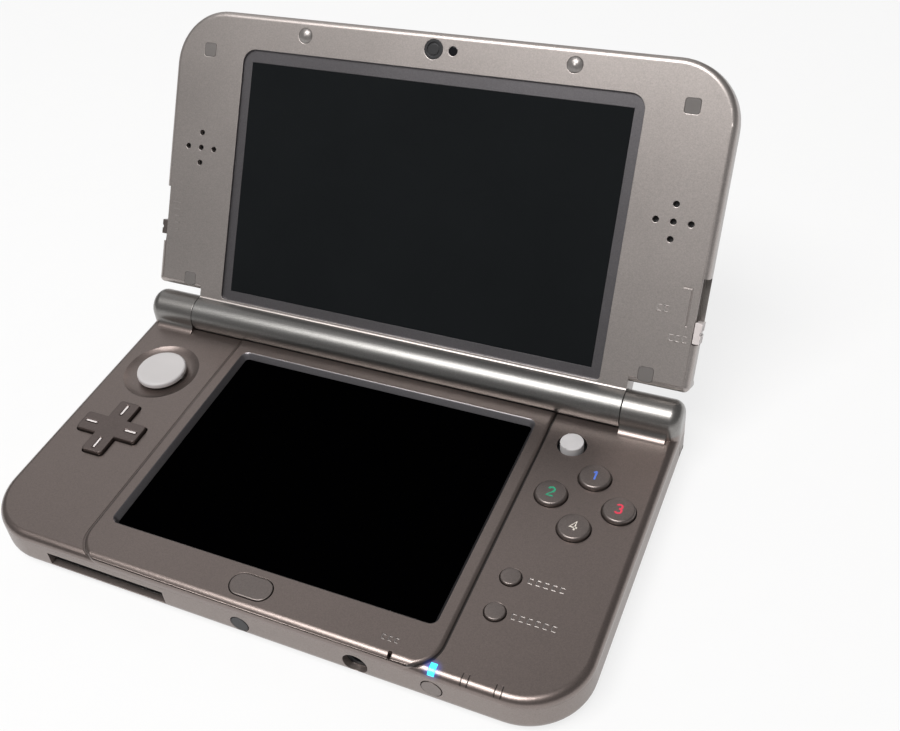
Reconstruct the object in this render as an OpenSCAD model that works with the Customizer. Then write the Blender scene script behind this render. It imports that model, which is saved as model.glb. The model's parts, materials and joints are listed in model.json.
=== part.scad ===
// Clamshell handheld game console, opened on its barrel hinge. All sizes are in millimetres.
// X runs to the right, Y away from the player to the hinge, Z up. The origin is the centre of the
// flat underside. Lid parts are drawn flat in a lid frame: Y runs from the hinge axis to the free
// edge and Z points out of the inner face, then hold_lid() turns them to the opening angle.

/* [Overall] */
// Width of both halves
body_w = 160; // [150:1:200]
// Depth from the front edge to the back of the hinge barrel
body_d = 93.5; // [88:0.5:120]
// Height of the raised middle of the lower half
base_h = 12; // [12:0.1:16]
// How far the two side decks lie below the raised middle
wing_drop = 0.6; // [0.2:0.1:1]
// Plan radius of the front corners of the lower half and the free corners of the lid
corner_r = 16; // [8:0.5:20]
// Plan radius of the back corners
rear_r = 3; // [2:0.5:6]
// Height of the joint line between the two lower shells
part_z = 9; // [8.9:0.1:10]
// Edge rounding along the top of the lower half
edge_r = 2.1; // [1:0.1:2.3]
// Edge rounding along the underside
under_r = 3.6; // [1:0.1:5]
// Wall thickness of the side walls
wall = 1.8; // [1.2:0.1:2.5]
// Thickness of the decks
skin = 1.4; // [1:0.1:1.6]
// Thickness of the floor over the battery cover
floor_t = 1.2; // [0.8:0.1:2]

/* [Hinge] */
// Radius of the hinge barrel and its knuckles
barrel_r = 5.15; // [4.2:0.05:6.2]
// Height of the hinge axis above the raised middle
hinge_rise = 2.3; // [1.8:0.1:3]
// Length of each knuckle from the split to the side
knuckle_l = 15; // [12:0.5:20]
// Opening angle of the lid as modelled, zero when shut
lid_open = 121.1; // [0:0.1:155]
// Gap between the barrel and the cradle around it
cradle_gap = 0.25; // [0.15:0.05:0.5]
// Gap at each split between barrel and knuckle
split_gap = 0.2; // [0.1:0.05:0.4]
// Radius of the hollow blend between knuckle and deck
blend_r = 2.5; // [1:0.1:3]
// Radial running fit of the hinge shafts
run_fit = 0.05; // [0.02:0.01:0.1]

/* [Lid] */
// Thickness of the lid
lid_t = 8.6; // [8:0.1:11]
// Gap between the shut lid and the raised middle
lid_gap = 0.9; // [0.8:0.1:1.2]
// Distance from the hinge axis to the lower edge of the lid's side parts
lid_low = 7.3; // [7:0.1:9]
// Thickness of the inner lid shell at its rim
inner_t = 2.8; // [2.4:0.1:4]
// Edge rounding of the inner face
inner_edge_r = 1.6; // [0.8:0.1:2.2]
// Edge rounding of the outer face
outer_edge_r = 3.4; // [2:0.1:4.5]

/* [Displays] */
// Visible width of the upper display
upper_w = 109.5; // [90:0.5:115]
// Visible height of the upper display
upper_d = 66; // [50:0.5:68]
// Distance from the hinge axis to the upper display
upper_low = 8.8; // [8:0.1:14]
// Depth of the pocket around the upper display
pocket_t = 0.8; // [0.4:0.1:1]
// Visible width of the lower display
lower_w = 86.9; // [70:0.1:88]
// Visible depth of the lower display
lower_d = 65.4; // [50:0.1:66]
// Distance from the hinge axis to the lower display
lower_far = 10.3; // [10.2:0.1:14]
// Depth of the lower display below the raised middle
lower_drop = 1.8; // [1:0.1:1.8]
// Width of the raised middle
plateau_w = 96.5; // [95:0.5:100]
// Plan radius of the front corners of the raised middle
plateau_r = 8; // [4:0.5:12]

/* [Controls] */
// Diameter of the circle pad
pad_dia = 15; // [12:0.1:16]
// Diameter of the dish around the circle pad
dish_dia = 22.2; // [20:0.1:24]
// Travel of the circle pad each way
pad_travel = 2; // [1:0.1:2.4]
// Length of the cross pad
cross_l = 19.4; // [16:0.1:21]
// Width of a cross pad arm
cross_w = 6.4; // [5:0.1:7.5]
// Diameter of the face buttons
button_dia = 8; // [6:0.1:9]
// Distance from the middle of the button group to each face button
button_ring = 8.4; // [7.6:0.1:10]
// Diameter of the small round keys
small_dia = 4.9; // [4:0.1:6.5]
// Height of controls above the side decks
control_rise = 1.2; // [0.6:0.1:1.3]
// Gap between a control and its hole
key_gap = 0.2; // [0.1:0.05:0.4]
// Diameter of the pointing nub
nub_dia = 6; // [4:0.1:7]

/* [Sockets] */
// Radius of the headphone plug bore
jack_r = 1.75; // [1.2:0.05:2]
// Length of the headphone plug bore
jack_l = 13.5; // [10:0.5:15]
// Width of the card slot
slot_w = 35; // [20:0.5:36]
// Height of the card slot
slot_h = 4.4; // [4.3:0.1:4.6]
// Depth of the card slot behind the front wall
slot_d = 34; // [20:0.5:36]

/* [Hidden] */

// Curves are drawn with this many sides where a mesh is needed
$fn = 64;
// Overlap that lets a cut pass a face
eps = 0.02;
// Gap between pieces that only need to sit in each other
seat = 0.05;

// Places shared by both halves
front_y = -body_d / 2;
rear_y = body_d / 2;
hinge_y = rear_y - barrel_r;
hinge_z = base_h + hinge_rise;
wing_z = base_h - wing_drop;
split_x = body_w / 2 - knuckle_l;
line_w = 0.45;
wing_x = (body_w + plateau_w + line_w) / 4;
face_z = hinge_rise - lid_gap;
outer_z = face_z - lid_t;
lid_part_z = face_z - inner_t;
lid_reach = hinge_y - front_y - 0.35;

// Stack inside the lower half, from the underside up
cover_t = 1.3;
floor_z = cover_t + floor_t;
board_t = 0.6;
board_z = part_z - 1.15;
board_top = board_z + board_t;
sheet_t = 0.2;
roof_t = 1.3;
deck_under = wing_z - skin;
panel_t = 0.8;
panel_z = base_h - lower_drop - panel_t;
recess_x = 3.2;
recess_y = 1.5;
flange_t = 0.45;
flange_z = deck_under - flange_t - seat;

// Cradle and blend
cradle_r = barrel_r + cradle_gap;
roof_z = min(part_z - 0.3, hinge_z - cradle_r) - roof_t;
lip_back = 4;
rear_wall_y = hinge_y - barrel_r - 1.05;

// Controls on the side decks
pad_y = hinge_y - 23.9;
cross_y = hinge_y - 48.6;
group_y = hinge_y - 31.6;
nub_x = wing_x - 8.75;
nub_y = hinge_y - 14.1;
start_x = wing_x - 8.95;
start_y = hinge_y - 58.3;
select_y = start_y - 10.2;
home_y = front_y + 6.2;
home_w = 11;
home_h = 6.2;
control_z = wing_z + control_rise;
cross_z = control_z - 0.15;
cross_gap = 0.35;

// Circle pad parts
pad_stem_r = 3;
pad_hole_r = pad_stem_r + pad_travel * sqrt(2) + 0.3;
skirt_r = pad_hole_r + pad_travel * sqrt(2) + 0.3;
skirt_reach = skirt_r + pad_travel * sqrt(2);
dish_t = 1.1;
dish_flat_r = 7;
dish_boss_r = dish_dia / 2 + 1.3;

// Screws of the lower half, as places on the right side that are mirrored to the left
screw_r = 0.85;
screw_head_r = 1.5;
screw_head_t = 1;
post_r = 2.6;
post_seat_z = 5.4;
screw_top = deck_under + 0.4;
screw_sites = [[body_w / 2 - 5.7, hinge_y - 8.6], [body_w / 2 - 6, front_y + 16.8], [18, front_y + 5.3]];

// Front edge pieces
card_x = -40;
card_z = floor_z + 0.3;
stylus_x = -1;
stylus_z = floor_z + 2.7;
stylus_r = 2.3;
stylus_l = 77;
jack_x = 29.2;
jack_z = floor_z + 2.7;
jack_hole_r = 3.1;
power_x = 47.9;
power_z = jack_z + 0.8;
power_r = 2.4;
led_x = [47.9, 55.4, 63];
led_w = 1.55;
mic_x = 38;
mic_y = front_y + 3.9;
mic_r = 1.9;

// Back edge pieces
key_low = floor_z + 0.7;
key_high = roof_z - 0.5;
shoulder_in = 49;
trigger_in = 31.5;
trigger_out = 46.5;
press_travel = 0.7;
back_cut_y = hinge_y - 2;

// Lid places
speaker_x = body_w / 2 - 11;
speaker_y = 48.95;
speaker_step = 4.36;
speaker_hole_r = 0.8;
cover_pad = 3.8;
cover_pad_t = 0.5;
lid_screw_sites = [[body_w / 2 - 11.25, lid_reach - 11.1], [body_w / 2 - 11.15, lid_low + 2.8]];
dome_x = 38.4;
dome_y = lid_reach - 4.5;
dome_r = 2.1;
dome_rise = 0.7;
camera_y = lid_reach - 4.4;
camera_r = 2.6;
lamp_x = 5.5;
lamp_r = 1.2;
pocket_w = upper_w + 5.5;
pocket_low = 5.95;
pocket_top = upper_low + upper_d + 3.6;
notch_in = 1.5;
notch_back_t = 1.2;
notch_back_x = body_w / 2 - notch_in - notch_back_t / 2;
notch_low = 19.7;
notch_high = 36.3;
notch_z = face_z - 5;
slit_z = lid_part_z - 0.7;
slit_h = 1.4;
outer_camera_x = 17.5;
lid_wall = 1.6;
lid_floor_z = outer_z + 1.4;
lid_ceiling = face_z - 1.6;
lid_blend_r = 0.9;
tube_r = 3.8;
shaft_r = 1.8;
blade_in = 9.4;
blade_w = 5.8;
blade_t = 2.2;
cable_r = 2.4;
cable_t = 0.3;
cable_w = 9;
cable_x = 4.75 - upper_w / 2;

// Finish colours for previews
metal = [0.55, 0.52, 0.5];
metal_light = [0.66, 0.64, 0.61];
black = [0.06, 0.06, 0.07];
pale = [0.85, 0.84, 0.84];
green = [0.1, 0.35, 0.2];
steel = [0.7, 0.7, 0.72];
rubber = [0.25, 0.24, 0.24];

// Square corner outside a disc, used to cut a rounding from a profile
module corner_waste(r) {
    difference() {
        square(r + eps);
        circle(r);
    }
}

// Half of a slab's cross-section, from its middle to one edge, with both edges rounded
module half_profile(reach, low, high, r_low, r_high) {
    difference() {
        translate([0, low])
            square([reach, high - low]);
        if (r_high > 0)
            translate([reach - r_high, high - r_high])
                corner_waste(r_high);
        if (r_low > 0)
            translate([reach - r_low, low + r_low])
                mirror([0, 1])
                    corner_waste(r_low);
    }
}

// Full cross-section of a slab
module slab_profile(width, low, high, r_low, r_high) {
    half_profile(width / 2, low, high, r_low, r_high);
    mirror([1, 0])
        half_profile(width / 2, low, high, r_low, r_high);
}

// Slab with rounded plan corners and rounded upper and lower edges
module soft_slab(w, y0, y1, r0, r1, low, high, r_low, r_high) {
    depth = y1 - y0;
    for (side = [-1, 1]) {
        translate([side * (w / 2 - r0), y0 + r0, 0])
            rotate_extrude()
                half_profile(r0, low, high, r_low, r_high);
        translate([side * (w / 2 - r1), y1 - r1, 0])
            rotate_extrude()
                half_profile(r1, low, high, min(r_low, r1), min(r_high, r1));
    }
    translate([0, y1 - r1, 0])
        rotate([90, 0, 0])
            linear_extrude(depth - r0 - r1)
                slab_profile(w, low, high, r_low, r_high);
    translate([r0 - w / 2, (y0 + y1) / 2, 0])
        rotate([90, 0, 90])
            linear_extrude(w - 2 * r0)
                slab_profile(depth, low, high, r_low, r_high);
    if (r1 < r0)
        translate([r1 - w / 2, y1 - r0, 0])
            rotate([90, 0, 90])
                linear_extrude(w - 2 * r1)
                    half_profile(r0, low, high, r_low, r_high);
}

// Flat rounded rectangle centred on the origin
module round_rect(w, d, r) {
    square([w - 2 * r, d], center = true);
    square([w, d - 2 * r], center = true);
    for (x = [-1, 1])
        for (y = [-1, 1])
            translate([x * (w / 2 - r), y * (d / 2 - r)])
                circle(r);
}

// Block with its centre in plan at x, y
module block(x, y, w, d, low, high) {
    translate([x - w / 2, y - d / 2, low])
        cube([w, d, high - low]);
}

// Upright round bar
module bar(x, y, r, low, high) {
    translate([x, y, low])
        cylinder(h = high - low, r = r);
}

// Bar along X around the hinge axis, in the lower half's frame
module hinge_bar(r, x0, x1) {
    translate([x0, hinge_y, hinge_z])
        rotate([0, 90, 0])
            cylinder(h = x1 - x0, r = r);
}

// Both sides of the console
module both_sides() {
    children();
    mirror([1, 0, 0])
        children();
}

// Turns a piece from the lid frame to its place on the opened hinge
module hold_lid() {
    translate([0, hinge_y, hinge_z])
        rotate([180 - lid_open, 0, 0])
            children();
}

// Plan outline of a stadium key
module stadium(w, h) {
    square([w - h, h], center = true);
    for (side = [-1, 1])
        translate([side * (w - h) / 2, 0])
            circle(h / 2);
}

// Plan outline of the cross pad
module cross_outline(l, w, r) {
    round_rect(l, w, r);
    round_rect(w, l, r);
}

// Centres of the four face buttons
function button_site(turn) = [wing_x + button_ring * cos(turn), group_y + button_ring * sin(turn)];

// Rounded outer form of one hinge knuckle with the neck that carries it
module knuckle() {
    end_r = rear_r;
    difference() {
        translate([split_x, hinge_y, hinge_z])
            rotate([0, 90, 0])
                rotate_extrude()
                    half_profile(barrel_r, 0, knuckle_l, 0, end_r);
        block(split_x, hinge_y, body_w, body_d, 0, part_z);
    }
    translate([0, 0, part_z])
        linear_extrude(hinge_z - part_z)
            difference() {
                translate([split_x, hinge_y - barrel_r])
                    square([knuckle_l, 2 * barrel_r]);
                translate([body_w / 2 - end_r, rear_y - end_r])
                    corner_waste(end_r);
                translate([body_w / 2 - end_r, hinge_y - barrel_r + end_r])
                    mirror([0, 1])
                        corner_waste(end_r);
            }
    // hollow blend down to the deck
    translate([split_x, hinge_y - barrel_r, wing_z])
        rotate([90, 0, 90])
            linear_extrude(knuckle_l - end_r)
                difference() {
                    translate([-blend_r, -eps])
                        square([blend_r + eps, blend_r + eps]);
                    translate([-blend_r, blend_r])
                        circle(blend_r);
                }
}

// Outer form of the upper shell before anything is cut from it
module upper_form() {
    step_r = 1.2;
    line_t = 0.35;
    // how far the side of the raised middle stands in at the height of the decks
    foot_in = step_r - sqrt(pow(step_r, 2) - pow(step_r - wing_drop, 2));
    foot_w = plateau_w - 2 * foot_in;
    foot_r = plateau_r - foot_in;
    difference() {
        union() {
            soft_slab(body_w, front_y, rear_y, corner_r, rear_r, part_z, wing_z, 0, edge_r);
            // raised middle, with the long rounding of the front edge and a tighter one at its sides
            intersection() {
                soft_slab(body_w, front_y, rear_y, corner_r, rear_r, part_z, base_h, 0, edge_r);
                soft_slab(plateau_w, front_y, hinge_y, plateau_r, rear_r, part_z, base_h, 0, step_r);
            }
        }
        // line around the foot of the raised middle
        translate([0, 0, wing_z - line_t])
            linear_extrude(line_t + wing_drop)
                difference() {
                    round_rect(foot_w + 2 * line_w, body_d + 2 * line_w, foot_r + line_w);
                    round_rect(foot_w, body_d - 2 * foot_in, foot_r);
                }
        hinge_bar(cradle_r, -split_x, split_x);
        translate([-split_x, hinge_y - lip_back, part_z - eps])
            cube([2 * split_x, body_d, hinge_z]);
    }
    both_sides()
        knuckle();
}

// Cavity of the upper shell
module upper_cavity() {
    inner_r = corner_r - wall;
    low = part_z - eps;
    soft_slab(body_w - 2 * wall, front_y + wall, rear_wall_y, inner_r, 1.2, low, deck_under, 0, 0);
    window_plate(recess_x, recess_y, low, base_h - lower_drop);
}

// Rib under the deck that frames the touch panel
module panel_rib() {
    rib_t = 0.9;
    difference() {
        window_plate(recess_x + rib_t, recess_y + rib_t, part_z + 0.3, deck_under + eps);
        window_plate(recess_x, recess_y, part_z, base_h);
    }
}

// Half of the cross-section of the lower window's opening, with a slope and a bevelled rim
module well_profile(reach) {
    slope = 0.8;
    bevel = 0.35;
    rim_z = lower_drop - bevel;
    polygon([[0, -eps], [reach, -eps], [reach, 0], [reach + slope, rim_z],
        [reach + slope + bevel + eps, lower_drop + eps], [0, lower_drop + eps]]);
}

// One straight stretch of the opening, with both of its slopes
module well_stretch(width, length) {
    rotate([90, 0, 0])
        linear_extrude(length, center = true) {
            well_profile(width / 2);
            mirror([1, 0])
                well_profile(width / 2);
        }
}

// Opening over the lower display, with rounded corners
module panel_opening() {
    corner = 1;
    translate([0, hinge_y - lower_far - lower_d / 2, base_h - lower_drop]) {
        well_stretch(lower_w, lower_d - 2 * corner);
        rotate([0, 0, 90])
            well_stretch(lower_d, lower_w - 2 * corner);
        for (x = [-1, 1])
            for (y = [-1, 1])
                translate([x * (lower_w / 2 - corner), y * (lower_d / 2 - corner), 0])
                    rotate_extrude()
                        well_profile(corner);
    }
}

// Ring boss with the dish for the circle pad
module dish_boss() {
    bar(-wing_x, pad_y, dish_boss_r, part_z, deck_under + 0.5);
}

// Everything cut through the decks for the controls
module control_holes() {
    low = part_z - eps;
    high = base_h + eps;
    rise_w = dish_dia / 2 - dish_flat_r;
    sweep_r = (pow(rise_w, 2) + pow(dish_t, 2)) / (2 * dish_t);
    // dish with a flat floor and a swept rim
    translate([-wing_x, pad_y, wing_z - dish_t])
        rotate_extrude() {
            square([dish_flat_r, dish_t + base_h]);
            intersection() {
                translate([dish_flat_r, sweep_r])
                    circle(sweep_r, $fn = 180);
                translate([dish_flat_r - eps, 0])
                    square([rise_w + eps, dish_t]);
            }
        }
    bar(-wing_x, pad_y, pad_hole_r, low, high);
    translate([-wing_x, cross_y, low])
        linear_extrude(high - low)
            cross_outline(cross_l + 2 * cross_gap, cross_w + 2 * cross_gap, 1.2);
    bar(-wing_x, cross_y, cross_l / 2 + 1.1, low, deck_under + 0.55);
    for (turn = [0, 90, 180, 270])
        bar(button_site(turn)[0], button_site(turn)[1], button_dia / 2 + key_gap, low, high);
    bar(nub_x, nub_y, nub_dia / 2 + 0.8, low, high);
    for (y = [start_y, select_y])
        bar(start_x, y, small_dia / 2 + key_gap, low, high);
    translate([0, home_y, low])
        linear_extrude(high - low)
            stadium(home_w + 2 * key_gap, home_h + 2 * key_gap);
}

// Form of the pieces that carry light through the front edge
module led_form(x, grow) {
    block(x, front_y + 1.5, led_w + 2 * grow, 3 + 2 * grow, part_z + 1.4 - grow, base_h);
}

module base_upper() {
    color(metal)
        difference() {
            union() {
                difference() {
                    upper_form();
                    upper_cavity();
                }
                dish_boss();
                panel_rib();
                both_sides()
                    for (site = screw_sites)
                        bar(site[0], site[1], post_r, part_z, deck_under + eps);
            }
            panel_opening();
            control_holes();
            for (x = led_x)
                led_form(x, seat / 2);
            // slot of the microphone
            block(mic_x, front_y + 1.25, 0.9, 1.7, part_z + 1, base_h + eps);
            bar(mic_x, mic_y, mic_r + key_gap, part_z - eps, part_z + 1.4);
            both_sides()
                for (site = screw_sites)
                    bar(site[0], site[1], screw_r + seat, part_z - eps, screw_top + 0.2);
            // bores of the hinge parts in both knuckles
            hinge_bar(tube_r + run_fit, split_x - 1, body_w / 2 - 2.2);
            hinge_bar(tube_r + run_fit, 2.2 - body_w / 2, 1 - split_x);
        }
}

// Opening of a back key through the lower shell
module back_opening(x0, x1) {
    translate([x0, back_cut_y, key_low - key_gap])
        cube([x1 - x0, body_d, key_high - key_low + 2 * key_gap]);
}

// Cut through the back wall at the height of the charge port
module back_block(x, w, h) {
    block(x, rear_y, w, 4 * wall, port_z - h / 2, port_z + h / 2);
}

module base_lower() {
    inner_r = corner_r - wall;
    color(metal)
        difference() {
            union() {
                difference() {
                    soft_slab(body_w, front_y, rear_y, corner_r, rear_r, 0, part_z, under_r, 0);
                    // main cavity, open at the top
                    soft_slab(body_w - 2 * wall, front_y + wall, rear_wall_y, inner_r, 1.2,
                        floor_z, part_z + eps, 0, 0);
                    // hollow under the hinge
                    block(0, (rear_wall_y + rear_y - wall) / 2, body_w - 2 * wall,
                        rear_y - wall - rear_wall_y + 2 * eps, floor_z, roof_z);
                    // shelf that the lid turns over
                    translate([-split_x, rear_wall_y, roof_z + roof_t])
                        cube([2 * split_x, body_d, part_z]);
                }
                both_sides()
                    for (site = screw_sites)
                        bar(site[0], site[1], post_r, 0.5, part_z);
            }
            // recess and bay under the battery cover
            translate([0, cover_y, -eps])
                linear_extrude(cover_t + eps)
                    round_rect(cover_w, cover_d, cover_r);
            block(battery_x, battery_y, battery_w + 0.6, battery_d + 0.6, 0, floor_z + eps);
            both_sides()
                for (site = screw_sites) {
                    bar(site[0], site[1], screw_head_r + key_gap, -eps, post_seat_z);
                    bar(site[0], site[1], screw_r + 0.1, 0, part_z + eps);
                }
            for (side = [-1, 1])
                bar(side * cover_screw_x, cover_screw_y, screw_r + seat, 0, floor_z - 0.3);
            // card slot, stylus, headphone and power openings in the front wall
            block(card_x, front_y, slot_w, 3 * wall, card_z, card_z + slot_h);
            translate([0, front_y - eps, 0]) {
                translate([stylus_x, 0, stylus_z])
                    rotate([-90, 0, 0])
                        cylinder(h = 2 * wall, r = stylus_r + key_gap);
                translate([jack_x, 0, jack_z])
                    rotate([-90, 0, 0])
                        cylinder(h = wall + 2 * eps, r = jack_hole_r);
                translate([power_x, 0, power_z])
                    rotate([-90, 0, 0])
                        cylinder(h = 2 * wall, r = power_r + key_gap);
            }
            // finger notch under the stylus
            translate([stylus_x, front_y, stylus_z - stylus_r])
                sphere(1.5);
            // back openings
            back_opening(shoulder_in - key_gap, body_w);
            back_opening(-body_w, key_gap - shoulder_in);
            both_sides()
                back_opening(trigger_in - key_gap, trigger_out + key_gap);
            back_block(0, port_w + 1, port_h + 0.8);
            back_block(ir_x, ir_w + 2 * seat, ir_h + 2 * seat);
        }
}

// Battery, its cover and their screws
cover_w = body_w - 22;
cover_d = 76;
cover_y = front_y + 8.4 + cover_d / 2;
cover_r = 8;
battery_x = 28;
battery_w = 45;
battery_d = 52;
battery_y = hinge_y - 44;
battery_t = 5.3;
cover_screw_x = cover_w / 2 - 8;
cover_screw_y = cover_y - cover_d / 2 + 3.2;

module battery_cover() {
    color(metal)
        difference() {
            translate([0, cover_y, 0])
                linear_extrude(cover_t - seat)
                    round_rect(cover_w - 2 * key_gap, cover_d - 2 * key_gap, cover_r - key_gap);
            for (side = [-1, 1]) {
                bar(side * cover_screw_x, cover_screw_y, screw_head_r + key_gap, -eps, 0.75);
                bar(side * cover_screw_x, cover_screw_y, screw_r + 0.1, 0, cover_t);
            }
            // fine grip lines beside the lifting edge
            for (step = [0:3])
                block(0, cover_y + cover_d / 2 - 4 - 1.4 * step, 20, 0.5, -eps, 0.25);
        }
}

// Cross slot cut in a screw head that faces down
module head_slot(x, y, z) {
    slot_l = 1.9;
    slot_t = 0.4;
    block(x, y, slot_l, slot_t, z - eps, z + 0.45);
    block(x, y, slot_t, slot_l, z - eps, z + 0.45);
}

module cover_screws() {
    color(steel)
        for (side = [-1, 1])
            difference() {
                union() {
                    bar(side * cover_screw_x, cover_screw_y, screw_head_r, 0.1, 0.75);
                    bar(side * cover_screw_x, cover_screw_y, screw_r, 0.7, floor_z - 0.4);
                }
                head_slot(side * cover_screw_x, cover_screw_y, 0.1);
            }
}

module shell_screws() {
    low = post_seat_z - screw_head_t;
    color(steel)
        both_sides()
            for (site = screw_sites)
                difference() {
                    union() {
                        bar(site[0], site[1], screw_head_r, low, post_seat_z);
                        bar(site[0], site[1], screw_r, post_seat_z - eps, screw_top);
                    }
                    head_slot(site[0], site[1], low);
                }
}

// Plate centred under the lower window, reaching past its edges
module window_plate(past_x, past_y, low, high) {
    block(0, hinge_y - lower_far - lower_d / 2, lower_w + 2 * past_x, lower_d + 2 * past_y, low, high);
}

module touch_panel() {
    color(black)
        window_plate(2.2, 1.3, panel_z, panel_z + panel_t);
}

module lower_display() {
    color(black)
        window_plate(2, 1.2, board_top + 0.1, panel_z - seat);
}

module main_board() {
    chip_t = 0.8;
    // each chip's place and size in plan
    chips = [[-12, 8, 12, 12], [-12, -9, 9, 11], [-30, 12, 10, 8]];
    board_r = corner_r - 4;
    color(green) {
        difference() {
            translate([0, (front_y + rear_wall_y) / 2 + 0.6, board_z])
                linear_extrude(board_t)
                    round_rect(body_w - 2 * wall - 1.4, rear_wall_y - front_y - 2 * wall - 2.4, board_r);
            bar(-wing_x, pad_y, skirt_reach + 0.5, 0, part_z);
            both_sides()
                for (site = screw_sites)
                    bar(site[0], site[1], post_r + 0.3, 0, part_z);
        }
        for (chip = chips)
            block(chip[0], chip[1], chip[2], chip[3], board_z - chip_t, board_z + eps);
    }
}

module battery() {
    color(rubber)
        translate([battery_x, battery_y, cover_t + 0.1])
            linear_extrude(battery_t)
                round_rect(battery_w, battery_d, 1.5);
}

module card_reader() {
    side_t = 0.7;
    back_y = front_y + wall + slot_d;
    color(steel)
        difference() {
            block(card_x, (front_y + wall + back_y + side_t) / 2, slot_w + 2 * side_t, slot_d + side_t,
                floor_z, card_z + slot_h + 0.35);
            block(card_x, (front_y + back_y) / 2, slot_w, back_y - front_y, card_z, card_z + slot_h);
        }
}

module headphone_jack() {
    mouth_y = front_y + wall + seat;
    color(black)
        difference() {
            translate([jack_x - 3.3, mouth_y, floor_z])
                cube([6.6, jack_l + 1, 5.2]);
            translate([jack_x, mouth_y - eps, jack_z])
                rotate([-90, 0, 0])
                    cylinder(h = jack_l + eps, r = jack_r);
        }
}

// Charge port and infrared window in the back wall
port_w = 8;
port_h = 3.4;
port_z = (floor_z + roof_z) / 2;
ir_x = -20;
ir_w = 10;
ir_h = 3.6;

module charge_port() {
    tongue_t = 0.8;
    color(black) {
        difference() {
            block(0, rear_y - wall - 4.2, port_w + 1.6, 8.2, floor_z + seat, roof_z - seat);
            block(0, rear_y - wall - 2, port_w, 6, port_z - port_h / 2, port_z + port_h / 2);
        }
        block(0, rear_y - wall - 4, port_w - 2, 5, port_z - tongue_t / 2, port_z + tongue_t / 2);
    }
}

module ir_window() {
    color(black)
        block(ir_x, rear_y - wall / 2 - 0.6, ir_w, wall + 1, port_z - ir_h / 2, port_z + ir_h / 2);
}

module microphone() {
    color(black)
        bar(mic_x, mic_y, mic_r, board_top + 0.05, part_z + 1.2);
}

// Front edge lamps follow the rounded edge of the upper shell
module led_piece(x) {
    intersection() {
        soft_slab(body_w, front_y, rear_y, corner_r, rear_r, part_z, wing_z, 0, edge_r);
        led_form(x, 0);
    }
}

module led_lit() {
    color([0.3, 0.8, 1])
        led_piece(led_x[0]);
}

module led_spare() {
    color(metal_light)
        for (i = [1, 2])
            led_piece(led_x[i]);
}

// Circle pad: the housing, the carriage that slides along X and the pad that slides along Y in it
carriage_t = 0.5;
carriage_z = part_z - 1.45;
carriage_w = 13;
carriage_d = 17;

module pad_module() {
    low = floor_z + 0.1;
    high = carriage_z - 0.05;
    color(black)
        difference() {
            bar(-wing_x, pad_y, skirt_reach + 0.2, low, carriage_z + carriage_t);
            block(-wing_x, pad_y, dish_dia + 6, carriage_d + 0.2, high, part_z);
            bar(-wing_x, pad_y, pad_stem_r + pad_travel * sqrt(2) + 0.6, high - 2, part_z);
        }
}

module pad_carriage() {
    color(pale)
        difference() {
            block(-wing_x, pad_y, carriage_w, carriage_d, carriage_z, carriage_z + carriage_t);
            block(-wing_x, pad_y, 2 * pad_stem_r + 0.1, 2 * (pad_stem_r + pad_travel) + 0.3,
                carriage_z - eps, part_z);
        }
}

module circle_pad() {
    cap_low = wing_z - 0.33;
    cap_edge = 0.7;
    hollow_t = 0.35;
    hollow_rim = pad_dia / 2 - 1.1;
    hollow_r = (pow(hollow_rim, 2) + pow(hollow_t, 2)) / (2 * hollow_t);
    color(pale)
        translate([-wing_x, pad_y, 0])
            difference() {
                union() {
                    rotate_extrude()
                        half_profile(pad_dia / 2, cap_low, control_z, 0.2, cap_edge);
                    cylinder(h = cap_low + eps, r = pad_stem_r);
                    translate([0, 0, carriage_z + carriage_t + 0.1])
                        cylinder(h = 0.6, r = skirt_r);
                }
                translate([0, 0, control_z + hollow_r - hollow_t])
                    sphere(hollow_r, $fn = 180);
                translate([0, 0, -eps])
                    cylinder(h = carriage_z - 1.5, r = pad_dia);
            }
}

// Cross pad: contact sheet, pivot collar that tips about X and the pad that tips about Y on it
module cross_membrane() {
    color(rubber)
        difference() {
            bar(-wing_x, cross_y, cross_l / 2 + 0.9, board_top, board_top + sheet_t);
            bar(-wing_x, cross_y, 3.4, board_top - eps, part_z);
        }
}

ball_z = board_top + 0.85;
ball_r = 2;

module cross_pivot() {
    color(rubber)
        intersection() {
            translate([-wing_x, cross_y, ball_z])
                sphere(ball_r);
            bar(-wing_x, cross_y, ball_r, board_top + sheet_t, ball_z + ball_r);
        }
}

module cross_pad() {
    low = ball_z - 0.05;
    hollow_r = 16;
    color(metal)
        difference() {
            union() {
                bar(-wing_x, cross_y, cross_l / 2 - 2.1, low, low + flange_t);
                translate([-wing_x, cross_y, low + flange_t - eps])
                    linear_extrude(cross_z - low - flange_t + eps)
                        cross_outline(cross_l, cross_w, 0.9);
            }
            // socket that sits on the ball
            translate([-wing_x, cross_y, ball_z])
                sphere(ball_r + run_fit);
            // shallow thumb hollow at the middle
            translate([-wing_x, cross_y, cross_z + hollow_r - 0.15])
                sphere(hollow_r, $fn = 120);
            // line along each arm
            for (turn = [0:90:270])
                translate([-wing_x, cross_y, cross_z - 0.15])
                    rotate([0, 0, turn])
                        translate([4.6, -0.35, 0])
                            cube([3.8, 0.7, 1]);
        }
}

module button_membrane() {
    color(rubber)
        union() {
            for (turn = [0:90:270])
                bar(button_site(turn)[0], button_site(turn)[1], button_dia / 2 + 1.2, board_top,
                    board_top + sheet_t);
            bar(wing_x, group_y, button_ring - 1, board_top, board_top + sheet_t);
            for (y = [start_y, select_y])
                bar(start_x, y, small_dia / 2 + 1.2, board_top, board_top + sheet_t);
            block(start_x, (group_y + select_y) / 2, 3, group_y - select_y, board_top, board_top + sheet_t);
        }
}

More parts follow.
